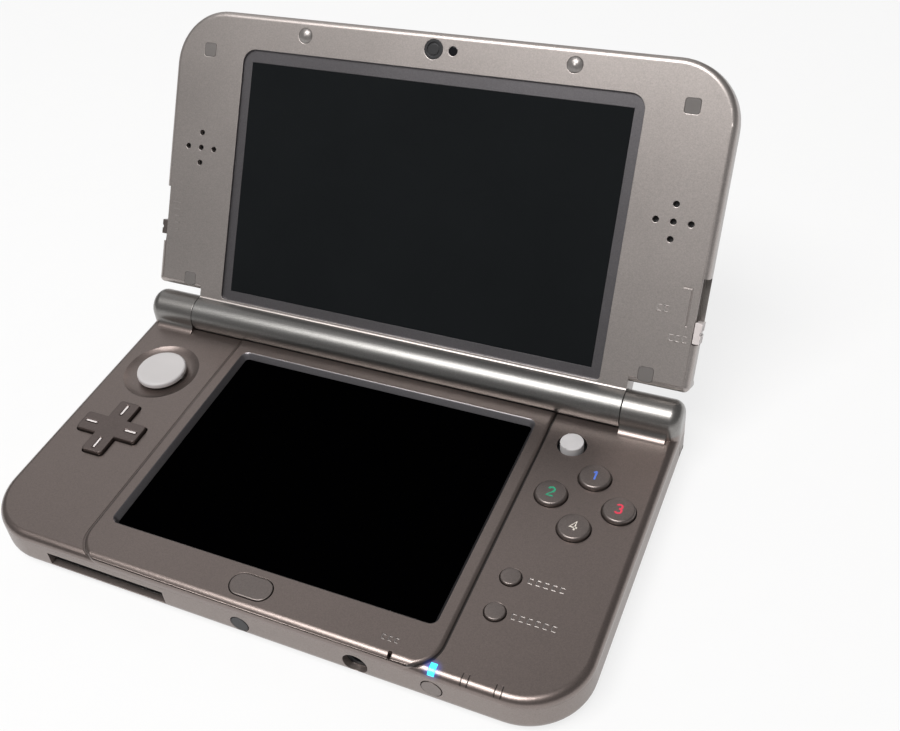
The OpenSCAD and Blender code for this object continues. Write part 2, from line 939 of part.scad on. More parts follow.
// Round key with a retaining flange under the deck
module round_key(x, y, r, high, flange_r, edge) {
    dome = 0.1;
    dome_r = (pow(r, 2) + pow(dome, 2)) / (2 * dome);
    translate([x, y, 0])
        intersection() {
            union() {
                translate([0, 0, flange_z])
                    cylinder(h = flange_t, r = flange_r);
                rotate_extrude()
                    half_profile(r, flange_z, high, 0, edge);
            }
            translate([0, 0, high - dome_r])
                sphere(dome_r, $fn = 180);
        }
}

module face_button(turn) {
    site = button_site(turn);
    color(metal)
        round_key(site[0], site[1], button_dia / 2, control_z, button_dia / 2 + 0.75, 0.8);
}

module button_upper() {
    face_button(90);
}

module button_left() {
    face_button(180);
}

module button_right() {
    face_button(0);
}

module button_lower() {
    face_button(270);
}

module small_key(y) {
    color(metal)
        round_key(start_x, y, small_dia / 2, wing_z + 0.7, small_dia / 2 + 0.6, 0.5);
}

module start_key() {
    small_key(start_y);
}

module select_key() {
    small_key(select_y);
}

module home_key() {
    color(metal)
        translate([0, home_y, 0]) {
            translate([0, 0, flange_z])
                linear_extrude(flange_t)
                    stadium(home_w + 1.2, home_h + 1.2);
            translate([0, 0, flange_z])
                linear_extrude(base_h + 0.2 - flange_z)
                    stadium(home_w, home_h);
        }
}

module power_button() {
    color(metal)
        translate([power_x, front_y, power_z])
            rotate([-90, 0, 0]) {
                translate([0, 0, -0.1])
                    cylinder(h = wall + 0.2, r = power_r);
                translate([0, 0, wall + seat])
                    cylinder(h = 0.6, r = power_r + 0.45);
            }
}

// Pointing nub: sensor on the board, stem that tips about X and cap that tips about Y on it
nub_pivot = board_top + 0.9;

module nub_module() {
    color(black)
        block(nub_x, nub_y, 9, 9, board_top, nub_pivot - 0.1);
}

module nub_stem() {
    color(steel)
        bar(nub_x, nub_y, 1, nub_pivot, nub_pivot + 1.5);
}

module nub_cap() {
    high = wing_z + control_rise + 0.1;
    color(pale)
        translate([nub_x, nub_y, 0])
            difference() {
                rotate_extrude()
                    half_profile(nub_dia / 2, nub_pivot + 0.35, high, 0.2, 0.3);
                cylinder(h = nub_pivot + 1.8, r = 1.3);
            }
}

// Corner key on the back of the right side, seen in plan
module shoulder_plan(proud) {
    outer_x = body_w / 2 - 0.1;
    outer_y = rear_y + proud;
    difference() {
        translate([shoulder_in, back_cut_y + press_travel + key_gap])
            square([outer_x - shoulder_in, outer_y - back_cut_y - press_travel - key_gap]);
        translate([outer_x - rear_r, outer_y - rear_r])
            corner_waste(rear_r);
    }
}

module shoulder() {
    lip = 1.2;
    lip_l = 22;
    color(metal) {
        translate([0, 0, key_low])
            linear_extrude(key_high - key_low)
                shoulder_plan(0.4);
        // inner lip that keeps the key in its opening
        translate([shoulder_in - lip, back_cut_y + key_gap, floor_z + 0.15])
            cube([lip_l, 2.2, roof_z - floor_z - 0.3]);
    }
}

module trigger() {
    w = trigger_out - trigger_in;
    color(metal) {
        translate([trigger_in, back_cut_y + key_gap, key_low])
            cube([w, rear_y - back_cut_y, key_high - key_low]);
        translate([trigger_in - 0.9, back_cut_y + key_gap, floor_z + 0.15])
            cube([w + 1.8, 2.2, roof_z - floor_z - 0.3]);
    }
}

module shoulder_right() {
    shoulder();
}

module shoulder_left() {
    mirror([1, 0, 0])
        shoulder();
}

module trigger_right() {
    trigger();
}

module trigger_left() {
    mirror([1, 0, 0])
        trigger();
}

module stylus() {
    tip_l = 6;
    tip_r = 0.7;
    color(metal)
        translate([stylus_x, front_y - 0.05, stylus_z])
            rotate([-90, 0, 0]) {
                cylinder(h = stylus_l - tip_l, r = stylus_r);
                translate([0, 0, stylus_l - tip_l - eps])
                    cylinder(h = tip_l, r1 = stylus_r, r2 = tip_r);
                translate([0, 0, stylus_l - 0.1])
                    sphere(tip_r);
            }
}

// Friction cartridge in the right knuckle
module hinge_cartridge() {
    color(steel)
        difference() {
            hinge_bar(tube_r, split_x + 0.6, body_w / 2 - 2.4);
            hinge_bar(shaft_r + run_fit, split_x, split_x + 8);
        }
}

// Keyed shaft from the cartridge into the barrel
module hinge_key() {
    color(steel) {
        hinge_bar(shaft_r, split_x - blade_in, split_x + 7.6);
        hold_lid()
            translate([split_x - blade_in, -blade_w / 2, -blade_t / 2])
                cube([7, blade_w, blade_t]);
    }
}

// Hollow bush between the barrel and the left knuckle, with room for the flexible cable
module hinge_bush() {
    color(pale)
        difference() {
            hinge_bar(tube_r, -split_x - 8, 9 - split_x);
            hinge_bar(tube_r - 1.1, -split_x - 9, 10 - split_x);
        }
}

// Flat lid slab from low to high in the lid frame
module lid_slab(low, high, r_low, r_high) {
    rotate([0, 0, 180])
        soft_slab(body_w, -lid_reach, -lid_low, corner_r, 1.5, low, high, r_low, r_high);
}

// Round bar along the hinge axis, in the lid frame
module lid_bar(r, x0, x1) {
    translate([x0, 0, 0])
        rotate([0, 90, 0])
            cylinder(h = x1 - x0, r = r);
}

// Cavity of the lid
module lid_cavity(low, high) {
    rotate([0, 0, 180])
        soft_slab(body_w - 2 * lid_wall, -lid_reach + lid_wall, -lid_low - lid_wall,
            corner_r - lid_wall, 1, low, high, 0, 0);
}

// Notches in both side edges for the two sliding knobs, and the slits behind them
module knob_notches() {
    length = notch_high - notch_low;
    mid = (notch_high + notch_low) / 2;
    for (side = [-1, 1]) {
        block(side * (body_w / 2 - notch_in + 2), mid, 4, length, notch_z, face_z + 1);
        block(side * notch_back_x, mid, 2 * notch_back_t, length, slit_z, slit_z + slit_h);
    }
}

// Walls behind the notches
module notch_backs(low, high) {
    for (side = [-1, 1])
        block(side * notch_back_x, (notch_high + notch_low) / 2, notch_back_t, notch_high - notch_low + 3,
            low, high);
}

// Outline of the pocket: wide corners at the free end and tight ones at the barrel
module pocket_outline() {
    wide_r = 4;
    tight_r = 1.2;
    depth = pocket_top - pocket_low;
    round_rect(pocket_w, depth, wide_r);
    translate([0, -wide_r / 2])
        round_rect(pocket_w, depth - wide_r, tight_r);
}

// Block behind the window of the upper display
module window_block(w, d, low, high) {
    block(0, upper_low + upper_d / 2, w, d, low, high);
}

// Way of the flexible cable from the barrel into the lid
module cable_way() {
    translate([cable_x - 0.5, 0, -cable_r - 0.2])
        cube([cable_w + 1, 12, cable_t + 0.4]);
}

// Hollow blend between the inner face and the barrel
module lid_blend(x0, x1) {
    blend_z = face_z + lid_blend_r;
    blend_y = sqrt(pow(barrel_r + lid_blend_r, 2) - pow(blend_z, 2));
    translate([x0, 0, 0])
        rotate([90, 0, 90])
            linear_extrude(x1 - x0)
                difference() {
                    polygon([[0, 0], [blend_y, blend_z], [blend_y, 0]]);
                    translate([blend_y, blend_z])
                        circle(lid_blend_r);
                }
}

module lid_inner() {
    half = split_x - split_gap;
    color(metal_light)
        hold_lid()
            difference() {
                union() {
                    difference() {
                        union() {
                            lid_slab(lid_part_z, face_z, 0, inner_edge_r);
                            translate([-half, 0, lid_part_z])
                                cube([2 * half, 2 * lid_low, face_z - lid_part_z]);
                        }
                        lid_cavity(lid_part_z - eps, lid_ceiling);
                    }
                    notch_backs(lid_part_z, face_z - 0.5);
                    for (side = [-1, 1])
                        for (site = lid_screw_sites)
                            bar(side * site[0], site[1], post_r, lid_part_z, face_z - cover_pad_t);
                    lid_bar(barrel_r, -half, half);
                    lid_blend(-half, half);
                }
                // pocket and opening for the upper display
                translate([0, (pocket_low + pocket_top) / 2, face_z - pocket_t])
                    linear_extrude(pocket_t + eps)
                        pocket_outline();
                window_block(upper_w + 2 * seat, upper_d + 2 * seat, lid_part_z, face_z);
                // speaker holes
                for (side = [-1, 1])
                    translate([side * speaker_x, speaker_y, 0])
                        for (hole = [[0, 0], [1, 0], [-1, 0], [0, 1], [0, -1]])
                            bar(hole[0] * speaker_step, hole[1] * speaker_step, speaker_hole_r,
                                lid_part_z, face_z + eps);
                // seats of domes, covers, screws, camera and lamp
                for (side = [-1, 1]) {
                    bar(side * dome_x, dome_y, dome_r, lid_ceiling + 0.5, face_z + eps);
                    for (site = lid_screw_sites) {
                        translate([side * site[0], site[1], face_z - cover_pad_t])
                            linear_extrude(1)
                                round_rect(cover_pad + seat, cover_pad + seat, 0.8);
                        bar(side * site[0], site[1], screw_head_r + seat, face_z - 1.7, face_z);
                        bar(side * site[0], site[1], screw_r + 0.1, lid_part_z - eps, face_z);
                    }
                }
                bar(0, camera_y, camera_r + seat, lid_part_z, face_z + eps);
                bar(lamp_x, camera_y, lamp_r + seat, lid_part_z, face_z + eps);
                knob_notches();
                // fine line beside the depth knob
                translate([body_w / 2 - 5.8, notch_high - 2.9, face_z - 0.15])
                    cube([2.4, 0.3, 1]);
                translate([body_w / 2 - 3.6, notch_high - 12.3, face_z - 0.15])
                    cube([0.3, 9.6, 1]);
                // hollow of the barrel, its keyed end and the way for the cable
                lid_bar(tube_r + seat, -half - eps, split_x - 12);
                lid_bar(shaft_r + seat, 0, split_x);
                translate([split_x - blade_in - seat, -blade_w / 2 - seat, -blade_t / 2 - seat])
                    cube([knuckle_l, blade_w + 2 * seat, blade_t + 2 * seat]);
                cable_way();
            }
}

module lid_outer() {
    half = split_x - split_gap;
    tail_y = lid_low + 3;
    tail_t = -outer_z;
    tail_r = (pow(tail_y, 2) + pow(tail_t, 2) - pow(barrel_r, 2)) / (2 * (tail_t - barrel_r));
    touch_y = -barrel_r * tail_y / (tail_r - barrel_r);
    color(metal)
        hold_lid()
            difference() {
                union() {
                    difference() {
                        union() {
                            lid_slab(outer_z, lid_part_z, outer_edge_r, 0);
                            // tail that closes over the barrel
                            translate([-half, 0, 0])
                                rotate([90, 0, 90])
                                    linear_extrude(2 * half)
                                        difference() {
                                            intersection() {
                                                translate([touch_y, outer_z])
                                                    square([tail_y - touch_y, lid_part_z - outer_z]);
                                                translate([tail_y, outer_z + tail_r])
                                                    circle(tail_r, $fn = 180);
                                            }
                                            circle(barrel_r + seat);
                                        }
                        }
                        lid_cavity(lid_floor_z, lid_part_z + eps);
                    }
                    notch_backs(lid_floor_z - eps, lid_part_z);
                    for (side = [-1, 1])
                        for (site = lid_screw_sites)
                            bar(side * site[0], site[1], post_r - 0.2, lid_floor_z - eps, lid_part_z);
                    for (side = [-1, 1])
                        bar(side * outer_camera_x, camera_y - 1, 4.6, lid_floor_z - eps, lid_floor_z + 1);
                }
                for (side = [-1, 1]) {
                    for (site = lid_screw_sites)
                        bar(side * site[0], site[1], screw_r + seat, lid_floor_z + 0.4, lid_part_z + eps);
                    bar(side * outer_camera_x, camera_y - 1, 3.4 + seat, outer_z - eps, lid_part_z);
                }
                knob_notches();
                cable_way();
            }
}

module upper_window() {
    color(black)
        hold_lid()
            window_block(upper_w, upper_d, lid_ceiling - seat, face_z - pocket_t - seat);
}

module upper_display() {
    color(black)
        hold_lid()
            window_block(upper_w - 2, upper_d - 1.5, lid_ceiling - 2.6, lid_ceiling - 0.1);
}

// Flexible cable between the halves, coiled in the barrel and led up into the lid
module display_flex() {
    color([0.7, 0.4, 0.15])
        hold_lid() {
            difference() {
                lid_bar(cable_r, 7 - body_w / 2, cable_x + cable_w);
                lid_bar(cable_r - cable_t, -body_w / 2, cable_x + cable_w + 1);
            }
            translate([cable_x, 0, -cable_r])
                cube([cable_w, upper_low + 0.5, cable_t]);
        }
}

module speaker(side) {
    color(black)
        hold_lid()
            translate([side * speaker_x, speaker_y, lid_ceiling - 3])
                linear_extrude(2.9)
                    round_rect(12, 16, 2);
}

module speaker_left() {
    speaker(-1);
}

module speaker_right() {
    speaker(1);
}

// Round lens unit whose face is at high, with a ring and a sunk lens
module lens_unit(x, r, low, high) {
    lens_r = 0.55 * r;
    difference() {
        bar(x, camera_y, r, low, high);
        bar(x, camera_y, lens_r + 0.5, high - 0.3, high + 1);
    }
    bar(x, camera_y, lens_r, high - 0.4, high - 0.1);
}

module inner_camera() {
    color(black)
        hold_lid()
            lens_unit(0, camera_r, lid_ceiling - 2.4, face_z - 0.05);
}

module infrared_lamp() {
    color(black)
        hold_lid()
            bar(lamp_x, camera_y, lamp_r, lid_ceiling - 1.2, face_z - 0.15);
}

module outer_cameras() {
    color(black)
        hold_lid()
            for (side = [-1, 1])
                difference() {
                    bar(side * outer_camera_x, camera_y - 1, 3.4, outer_z, lid_floor_z + 2.6);
                    bar(side * outer_camera_x, camera_y - 1, 2.2, outer_z - 1, outer_z + 0.4);
                }
}

module rubber_domes() {
    ball_r = (pow(dome_r - seat, 2) + pow(dome_rise, 2)) / (2 * dome_rise);
    color(rubber)
        hold_lid()
            for (side = [-1, 1])
                intersection() {
                    bar(side * dome_x, dome_y, dome_r - seat, lid_ceiling + 0.5, face_z + dome_rise + 1);
                    translate([side * dome_x, dome_y, face_z + dome_rise - ball_r])
                        sphere(ball_r);
                }
}

module screw_covers() {
    color(rubber)
        hold_lid()
            for (side = [-1, 1])
                for (site = lid_screw_sites)
                    translate([side * site[0], site[1], face_z - cover_pad_t])
                        linear_extrude(cover_pad_t)
                            round_rect(cover_pad - seat, cover_pad - seat, 0.8);
}

module lid_screws() {
    head_low = face_z - 1.7;
    color(steel)
        hold_lid()
            for (side = [-1, 1])
                for (site = lid_screw_sites)
                    difference() {
                        union() {
                            bar(side * site[0], site[1], screw_head_r, head_low, head_low + screw_head_t);
                            bar(side * site[0], site[1], screw_r, lid_floor_z + 0.6, head_low + eps);
                        }
                        head_slot(side * site[0], site[1], head_low + screw_head_t - 0.45);
                    }
}

// Sliding knob: grip in the notch, neck through the slit and plate inside the wall
module slide_knob(side, low, length, proud) {
    grip_t = notch_in + proud - 0.1;
    grip_x = body_w / 2 - notch_in + 0.1 + grip_t / 2;
    plate_t = 0.8;
    plate_x = notch_back_x - notch_back_t / 2 - 0.1 - plate_t / 2;
    mid = low + length / 2;
    difference() {
        block(side * grip_x, mid, grip_t, length, notch_z + 0.15, face_z - 0.2);
        block(side * (grip_x + grip_t / 2), mid, 0.6, 0.8, notch_z, face_z);
    }
    block(side * (plate_x + grip_x) / 2, mid, grip_x - plate_x, length - 1.6, slit_z + 0.1,
        slit_z + slit_h - 0.1);
    block(side * plate_x, mid, plate_t, length + 0.8, slit_z - 1, slit_z + slit_h + 0.3);
}

module volume_knob() {
    color(metal)
        hold_lid()
            slide_knob(-1, notch_low + 2.2, 4.2, 0.3);
}

module depth_knob() {
    color(pale)
        hold_lid()
            slide_knob(1, notch_low + 0.3, 5.4, 0.4);
}

base_upper();
base_lower();
battery_cover();
cover_screws();
shell_screws();
touch_panel();
lower_display();
main_board();
battery();
card_reader();
headphone_jack();
charge_port();
ir_window();
microphone();
led_lit();
led_spare();
pad_module();
pad_carriage();
circle_pad();
cross_membrane();
cross_pivot();
cross_pad();
button_membrane();
button_upper();
button_left();
button_right();
button_lower();
start_key();
select_key();
home_key();
power_button();
nub_module();
nub_stem();
nub_cap();
shoulder_left();
shoulder_right();
trigger_left();
trigger_right();
stylus();
hinge_cartridge();
hinge_key();
hinge_bush();
lid_inner();
lid_outer();
upper_window();
upper_display();
display_flex();
speaker_left();
speaker_right();
inner_camera();
infrared_lamp();
outer_cameras();
rubber_domes();
screw_covers();
lid_screws();
volume_knob();
depth_knob();
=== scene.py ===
"""Visual model of a clamshell handheld game console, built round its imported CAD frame."""

import json
import logging
import math
from dataclasses import dataclass
from enum import Enum
from typing import Callable, Dict, List, Optional, Sequence, Tuple, Union

import bmesh
import bpy
from mathutils import Matrix, Vector

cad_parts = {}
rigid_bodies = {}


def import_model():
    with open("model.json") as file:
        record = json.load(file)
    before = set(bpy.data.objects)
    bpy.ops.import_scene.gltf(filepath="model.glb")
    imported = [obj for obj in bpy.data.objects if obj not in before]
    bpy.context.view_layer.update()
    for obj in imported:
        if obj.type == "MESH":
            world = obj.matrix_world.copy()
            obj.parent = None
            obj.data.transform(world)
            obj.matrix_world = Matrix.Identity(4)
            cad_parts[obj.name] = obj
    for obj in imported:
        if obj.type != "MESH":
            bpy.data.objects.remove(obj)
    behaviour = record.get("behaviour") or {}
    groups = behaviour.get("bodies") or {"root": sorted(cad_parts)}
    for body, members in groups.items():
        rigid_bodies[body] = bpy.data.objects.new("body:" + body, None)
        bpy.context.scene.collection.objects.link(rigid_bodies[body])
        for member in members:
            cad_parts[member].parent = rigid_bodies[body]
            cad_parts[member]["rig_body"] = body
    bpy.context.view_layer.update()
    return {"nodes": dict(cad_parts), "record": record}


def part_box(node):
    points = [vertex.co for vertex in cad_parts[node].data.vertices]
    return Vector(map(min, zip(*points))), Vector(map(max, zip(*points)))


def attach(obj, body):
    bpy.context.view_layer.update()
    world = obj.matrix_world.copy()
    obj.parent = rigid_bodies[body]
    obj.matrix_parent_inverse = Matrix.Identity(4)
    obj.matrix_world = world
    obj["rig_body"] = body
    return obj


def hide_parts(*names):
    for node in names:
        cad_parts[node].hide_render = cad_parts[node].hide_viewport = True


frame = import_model()

logging.basicConfig(level=logging.INFO, format="%(levelname)s %(message)s")
log = logging.getLogger("console")

MM = 0.001
Spot = Tuple[float, float]
Point = Tuple[float, float, float]
Colour = Tuple[float, float, float]

# Places and sizes shared with the CAD source, in millimetres
HINGE_Y = 41.6
HINGE_Z = 14.3
BARREL_R = 5.15
BASE_H = 12.0
WING_X = 64.24
WING_Z = 11.4
PAD_Y = 17.7
GROUP_Y = 10.0
GROUP_RING = 8.4
CONTROL_Z = 12.6
CROSS_Y = -7.0
CROSS_Z = 12.45
FACE_N = 1.4
LAMP_PLACE = (47.9, -45.1, 11.2)

# Foot of the raised middle and rim of the lower window, rounded rectangles in plan
FOOT_SIZE = (96.18, 93.18)
FOOT_R = 7.84
WELL_Y = -1.4
WELL_SIZE = (89.2, 67.7)
WELL_R = 2.1

# Angle of the open lid from shut, in degrees
LID_OPEN = 121.1


class Body(Enum):
    """CAD bodies that pieces ride on."""

    BASE = "base"
    LID = "lid"
    CROSS = "cross_pad"
    UPPER = "button_upper"
    LEFT = "button_left"
    RIGHT = "button_right"
    LOWER = "button_lower"


class Space(Enum):
    """Frames that a piece's points can be given in."""

    BASE = "base"
    LID = "lid"


def lid_matrix() -> Matrix:
    """Returns the turn and shift from the flat lid frame to the row frame, in metres."""
    turn = Matrix.Rotation(math.radians(180.0 - LID_OPEN), 4, "X")
    return Matrix.Translation((0.0, HINGE_Y * MM, HINGE_Z * MM)) @ turn


def to_frame(space: Space) -> Matrix:
    """Gives the matrix that takes millimetres in a space to metres in the row frame."""
    scale = Matrix.Scale(MM, 4)
    return lid_matrix() @ scale if space is Space.LID else scale


def tint(colour: Colour, share: float) -> Colour:
    """Gives a colour made lighter or darker, with no part of it over 1."""
    return tuple(min(1.0, share * part) for part in colour)


def placed(name: str, data: bpy.types.ID) -> bpy.types.Object:
    """Makes an object for a mesh, lamp or camera and puts it in the scene.

    Args:
        name: the object's name.
        data: what it shows.

    Returns:
        The object.
    """
    made = bpy.data.objects.new(name, data)
    bpy.context.scene.collection.objects.link(made)
    return made


def add_node(tree: bpy.types.NodeTree, kind: str, settings: Optional[dict],
             inputs: Optional[dict]) -> bpy.types.Node:
    """Adds a node to a tree, sets it up and links it.

    Args:
        tree: the tree.
        kind: the node's type.
        settings: attributes set first.
        inputs: values, wires or sockets by socket name or number.

    Returns:
        The node.
    """
    node = tree.nodes.new(kind)
    for key, value in (settings or {}).items():
        setattr(node, key, value)
    for key, value in (inputs or {}).items():
        value = value.socket if isinstance(value, Wire) else value
        if isinstance(value, bpy.types.NodeSocket):
            tree.links.new(value, node.inputs[key])
        else:
            node.inputs[key].default_value = value
    return node


class Wire:
    """Output socket of a shader node, with arithmetic."""

    def __init__(self, graph: "Graph", socket: bpy.types.NodeSocket) -> None:
        """Keeps the graph and the socket."""
        self.graph = graph
        self.socket = socket

    def _maths(self, operation: str, first: "Term", second: "Term") -> "Wire":
        """Adds a Math node and returns its output."""
        return self.graph.add("ShaderNodeMath", {"operation": operation}, {0: first, 1: second})

    def __add__(self, other: "Term") -> "Wire":
        """Adds a value or wire."""
        return self._maths("ADD", self, other)

    def __radd__(self, other: "Term") -> "Wire":
        """Adds to a value."""
        return self._maths("ADD", other, self)

    def __sub__(self, other: "Term") -> "Wire":
        """Takes away a value or wire."""
        return self._maths("SUBTRACT", self, other)

    def __rsub__(self, other: "Term") -> "Wire":
        """Takes this wire from a value."""
        return self._maths("SUBTRACT", other, self)

    def __mul__(self, other: "Term") -> "Wire":
        """Multiplies by a value or wire."""
        return self._maths("MULTIPLY", self, other)

    def __rmul__(self, other: "Term") -> "Wire":
        """Multiplies a value."""
        return self._maths("MULTIPLY", other, self)

    def __pow__(self, other: "Term") -> "Wire":
        """Raises to a power."""
        return self._maths("POWER", self, other)

    def __abs__(self) -> "Wire":
        """Gives the size without the sign."""
        return self._maths("ABSOLUTE", self, 0.0)

    def ramp(self, low: float, high: float) -> "Wire":
        """Rises from 0 at the low value to 1 at the high one, and is clamped."""
        return ((self - low) * (1.0 / (high - low))).largest(0.0).smallest(1.0)

    def swing(self, share: float) -> "Wire":
        """Gives a share of how far a noise is from its middle, one half."""
        return (self - 0.5) * share

    def below(self, other: "Term") -> "Wire":
        """Gives 1 where this wire is below a value."""
        return self._maths("LESS_THAN", self, other)

    def smallest(self, other: "Term") -> "Wire":
        """Gives the smaller of this wire and a value."""
        return self._maths("MINIMUM", self, other)

    def largest(self, other: "Term") -> "Wire":
        """Gives the larger of this wire and a value."""
        return self._maths("MAXIMUM", self, other)


Term = Union[Wire, float, int]


class Graph:
    """Node tree of one material, with one method for every node."""

    def __init__(self, name: str) -> None:
        """Starts an empty material.

        Args:
            name: the material's name.
        """
        self.material = bpy.data.materials.new(name)
        self.material.use_nodes = True
        self.tree = self.material.node_tree
        self.tree.nodes.clear()

    def add(self, kind: str, settings: Optional[dict] = None, inputs: Optional[dict] = None,
            output: Union[int, str] = 0) -> Wire:
        """Adds a node with its settings and inputs, and returns the chosen output."""
        return Wire(self, add_node(self.tree, kind, settings, inputs).outputs[output])

    def place(self) -> Wire:
        """Gives the piece's own coordinates."""
        return self.add("ShaderNodeTexCoord", output="Object")

    def axes(self, vector: Wire) -> List[Wire]:
        """Splits a vector into its X, Y and Z."""
        node = add_node(self.tree, "ShaderNodeSeparateXYZ", None, {0: vector})
        return [Wire(self, part) for part in node.outputs]

    def lid_axes(self, vector: Wire) -> List[Wire]:
        """Turns row-frame metres into the flat lid frame's millimetres.

        Args:
            vector: the coordinates.

        Returns:
            X, distance up the lid from the hinge axis, and height over its inner face.
        """
        across, back, up = self.axes(vector)
        turn = math.radians(180.0 - LID_OPEN)
        cos, sin = math.cos(turn) / MM, math.sin(turn) / MM
        back = back - HINGE_Y * MM
        up = up - HINGE_Z * MM
        return [across * (1.0 / MM), back * cos + up * sin, up * cos - back * sin]

    def distance(self, vector: Wire, centre: Point) -> Wire:
        """Measures how far the surface is from a point.

        Args:
            vector: the coordinates.
            centre: the point in millimetres.

        Returns:
            The distance in millimetres.
        """
        target = tuple(part * MM for part in centre)
        gap = self.add("ShaderNodeVectorMath", {"operation": "DISTANCE"}, {0: vector, 1: target}, "Value")
        return gap * (1.0 / MM)

    def outside(self, vector: Wire, middle: Spot, size: Spot, radius: float) -> Wire:
        """Measures how far the surface lies outside a rounded rectangle in plan.

        Args:
            vector: the coordinates.
            middle: centre of the rectangle in millimetres.
            size: its width and depth.
            radius: its corner radius.

        Returns:
            The distance in millimetres, below zero inside.
        """
        parts = self.axes(vector)[:2]
        over = [(abs(part * (1.0 / MM) - centre) - (side / 2 - radius)).largest(0.0)
                for part, centre, side in zip(parts, middle, size)]
        return (over[0] * over[0] + over[1] * over[1]) ** 0.5 - radius

    def noise(self, vector: Wire, scale: float, detail: float = 2.0, roughness: float = 0.5) -> Wire:
        """Adds a noise of so many repeats per metre, round about one half."""
        values = {"Vector": vector, "Scale": scale, "Detail": detail, "Roughness": roughness}
        return self.add("ShaderNodeTexNoise", None, values)

    def cells(self, vector: Wire, scale: float, output: str) -> Wire:
        """Adds a cell pattern of so many cells per metre and returns the chosen output."""
        values = {"Vector": vector, "Scale": scale}
        return self.add("ShaderNodeTexVoronoi", {"feature": "F1"}, values, output)

    def blend(self, share: Term, first: Union[Wire, Colour], second: Union[Wire, Colour]) -> Wire:
        """Mixes two colours.

        Args:
            share: share of the second colour.
            first: first colour.
            second: second colour.

        Returns:
            The mixed colour.
        """
        first = first if isinstance(first, Wire) else (*first, 1.0)
        second = second if isinstance(second, Wire) else (*second, 1.0)
        return self.add("ShaderNodeMix", {"data_type": "RGBA"}, {0: share, 6: first, 7: second}, 2)

    def bump(self, height: Wire, distance: float, strength: float = 1.0) -> Wire:
        """Gives the normal of a bump so many metres high."""
        values = {"Height": height, "Distance": distance, "Strength": strength}
        return self.add("ShaderNodeBump", None, values)

    def surface(self, values: dict) -> bpy.types.Material:
        """Ends the graph in a Principled shader and returns the material."""
        return self.end(self.add("ShaderNodeBsdfPrincipled", None, values))

    def end(self, shader: Wire) -> bpy.types.Material:
        """Links a shader to the output and returns the material."""
        add_node(self.tree, "ShaderNodeOutputMaterial", None, {"Surface": shader})
        return self.material


@dataclass(frozen=True)
class Lacquer:
    """Metallic lacquer with fine flakes on moulded plastic."""

    name: str
    colour: Colour
    metallic: float = 0.72
    roughness: float = 0.4
    grain: float = 0.09
    coat: float = 0.12
    coat_roughness: float = 0.3
    cloud_share: float = 0.16
    sparkle_share: float = 0.16
    grain_share: float = 0.3
    cloud_rough: float = 0.05
    grain_lift: float = 0.7
    bump_high: float = 0.000012

    def tone(self, graph: Graph, place: Wire) -> Union[Wire, Colour]:
        """Gives the colour under the flakes, the same all over."""
        return self.colour

    def rough(self, graph: Graph, place: Wire) -> Term:
        """Gives the roughness under the grain, the same all over."""
        return self.roughness

    def glow(self, graph: Graph, place: Wire) -> Dict[str, Term]:
        """Gives the sockets of any painted glow that a lamp close by casts on the lacquer, here none."""
        return {}

    def build(self) -> bpy.types.Material:
        """Returns the lacquer material."""
        graph = Graph(self.name)
        place = graph.place()
        sparkle = graph.axes(graph.cells(place, scale=5200.0, output="Color"))[0]
        grain = graph.noise(place, scale=2600.0, detail=3.0, roughness=0.6)
        cloud = graph.noise(place, scale=26.0, detail=3.0, roughness=0.55)
        shares = (self.cloud_share, self.sparkle_share, self.grain_share)
        strength = cloud * shares[0] + sparkle * shares[1] + grain * shares[2] + (1.0 - sum(shares) / 2)
        light = graph.add("ShaderNodeCombineXYZ", None, {0: strength, 1: strength, 2: strength})
        tone = self.tone(graph, place)
        tone = tone if isinstance(tone, Wire) else (*tone, 1.0)
        mixed = graph.add("ShaderNodeMix", {"data_type": "RGBA", "blend_type": "MULTIPLY"},
                          {0: 1.0, 6: tone, 7: light}, 2)
        rough = grain.swing(self.grain) + cloud.swing(self.cloud_rough) + self.rough(graph, place)
        height = grain * self.grain_lift + sparkle * (1.0 - self.grain_lift)
        return graph.surface({
            "Base Color": mixed,
            "Metallic": self.metallic,
            "Roughness": rough,
            "Coat Weight": self.coat,
            "Coat Roughness": self.coat_roughness,
            "Normal": graph.bump(height, self.bump_high, strength=0.55),
            **self.glow(graph, place),
        })


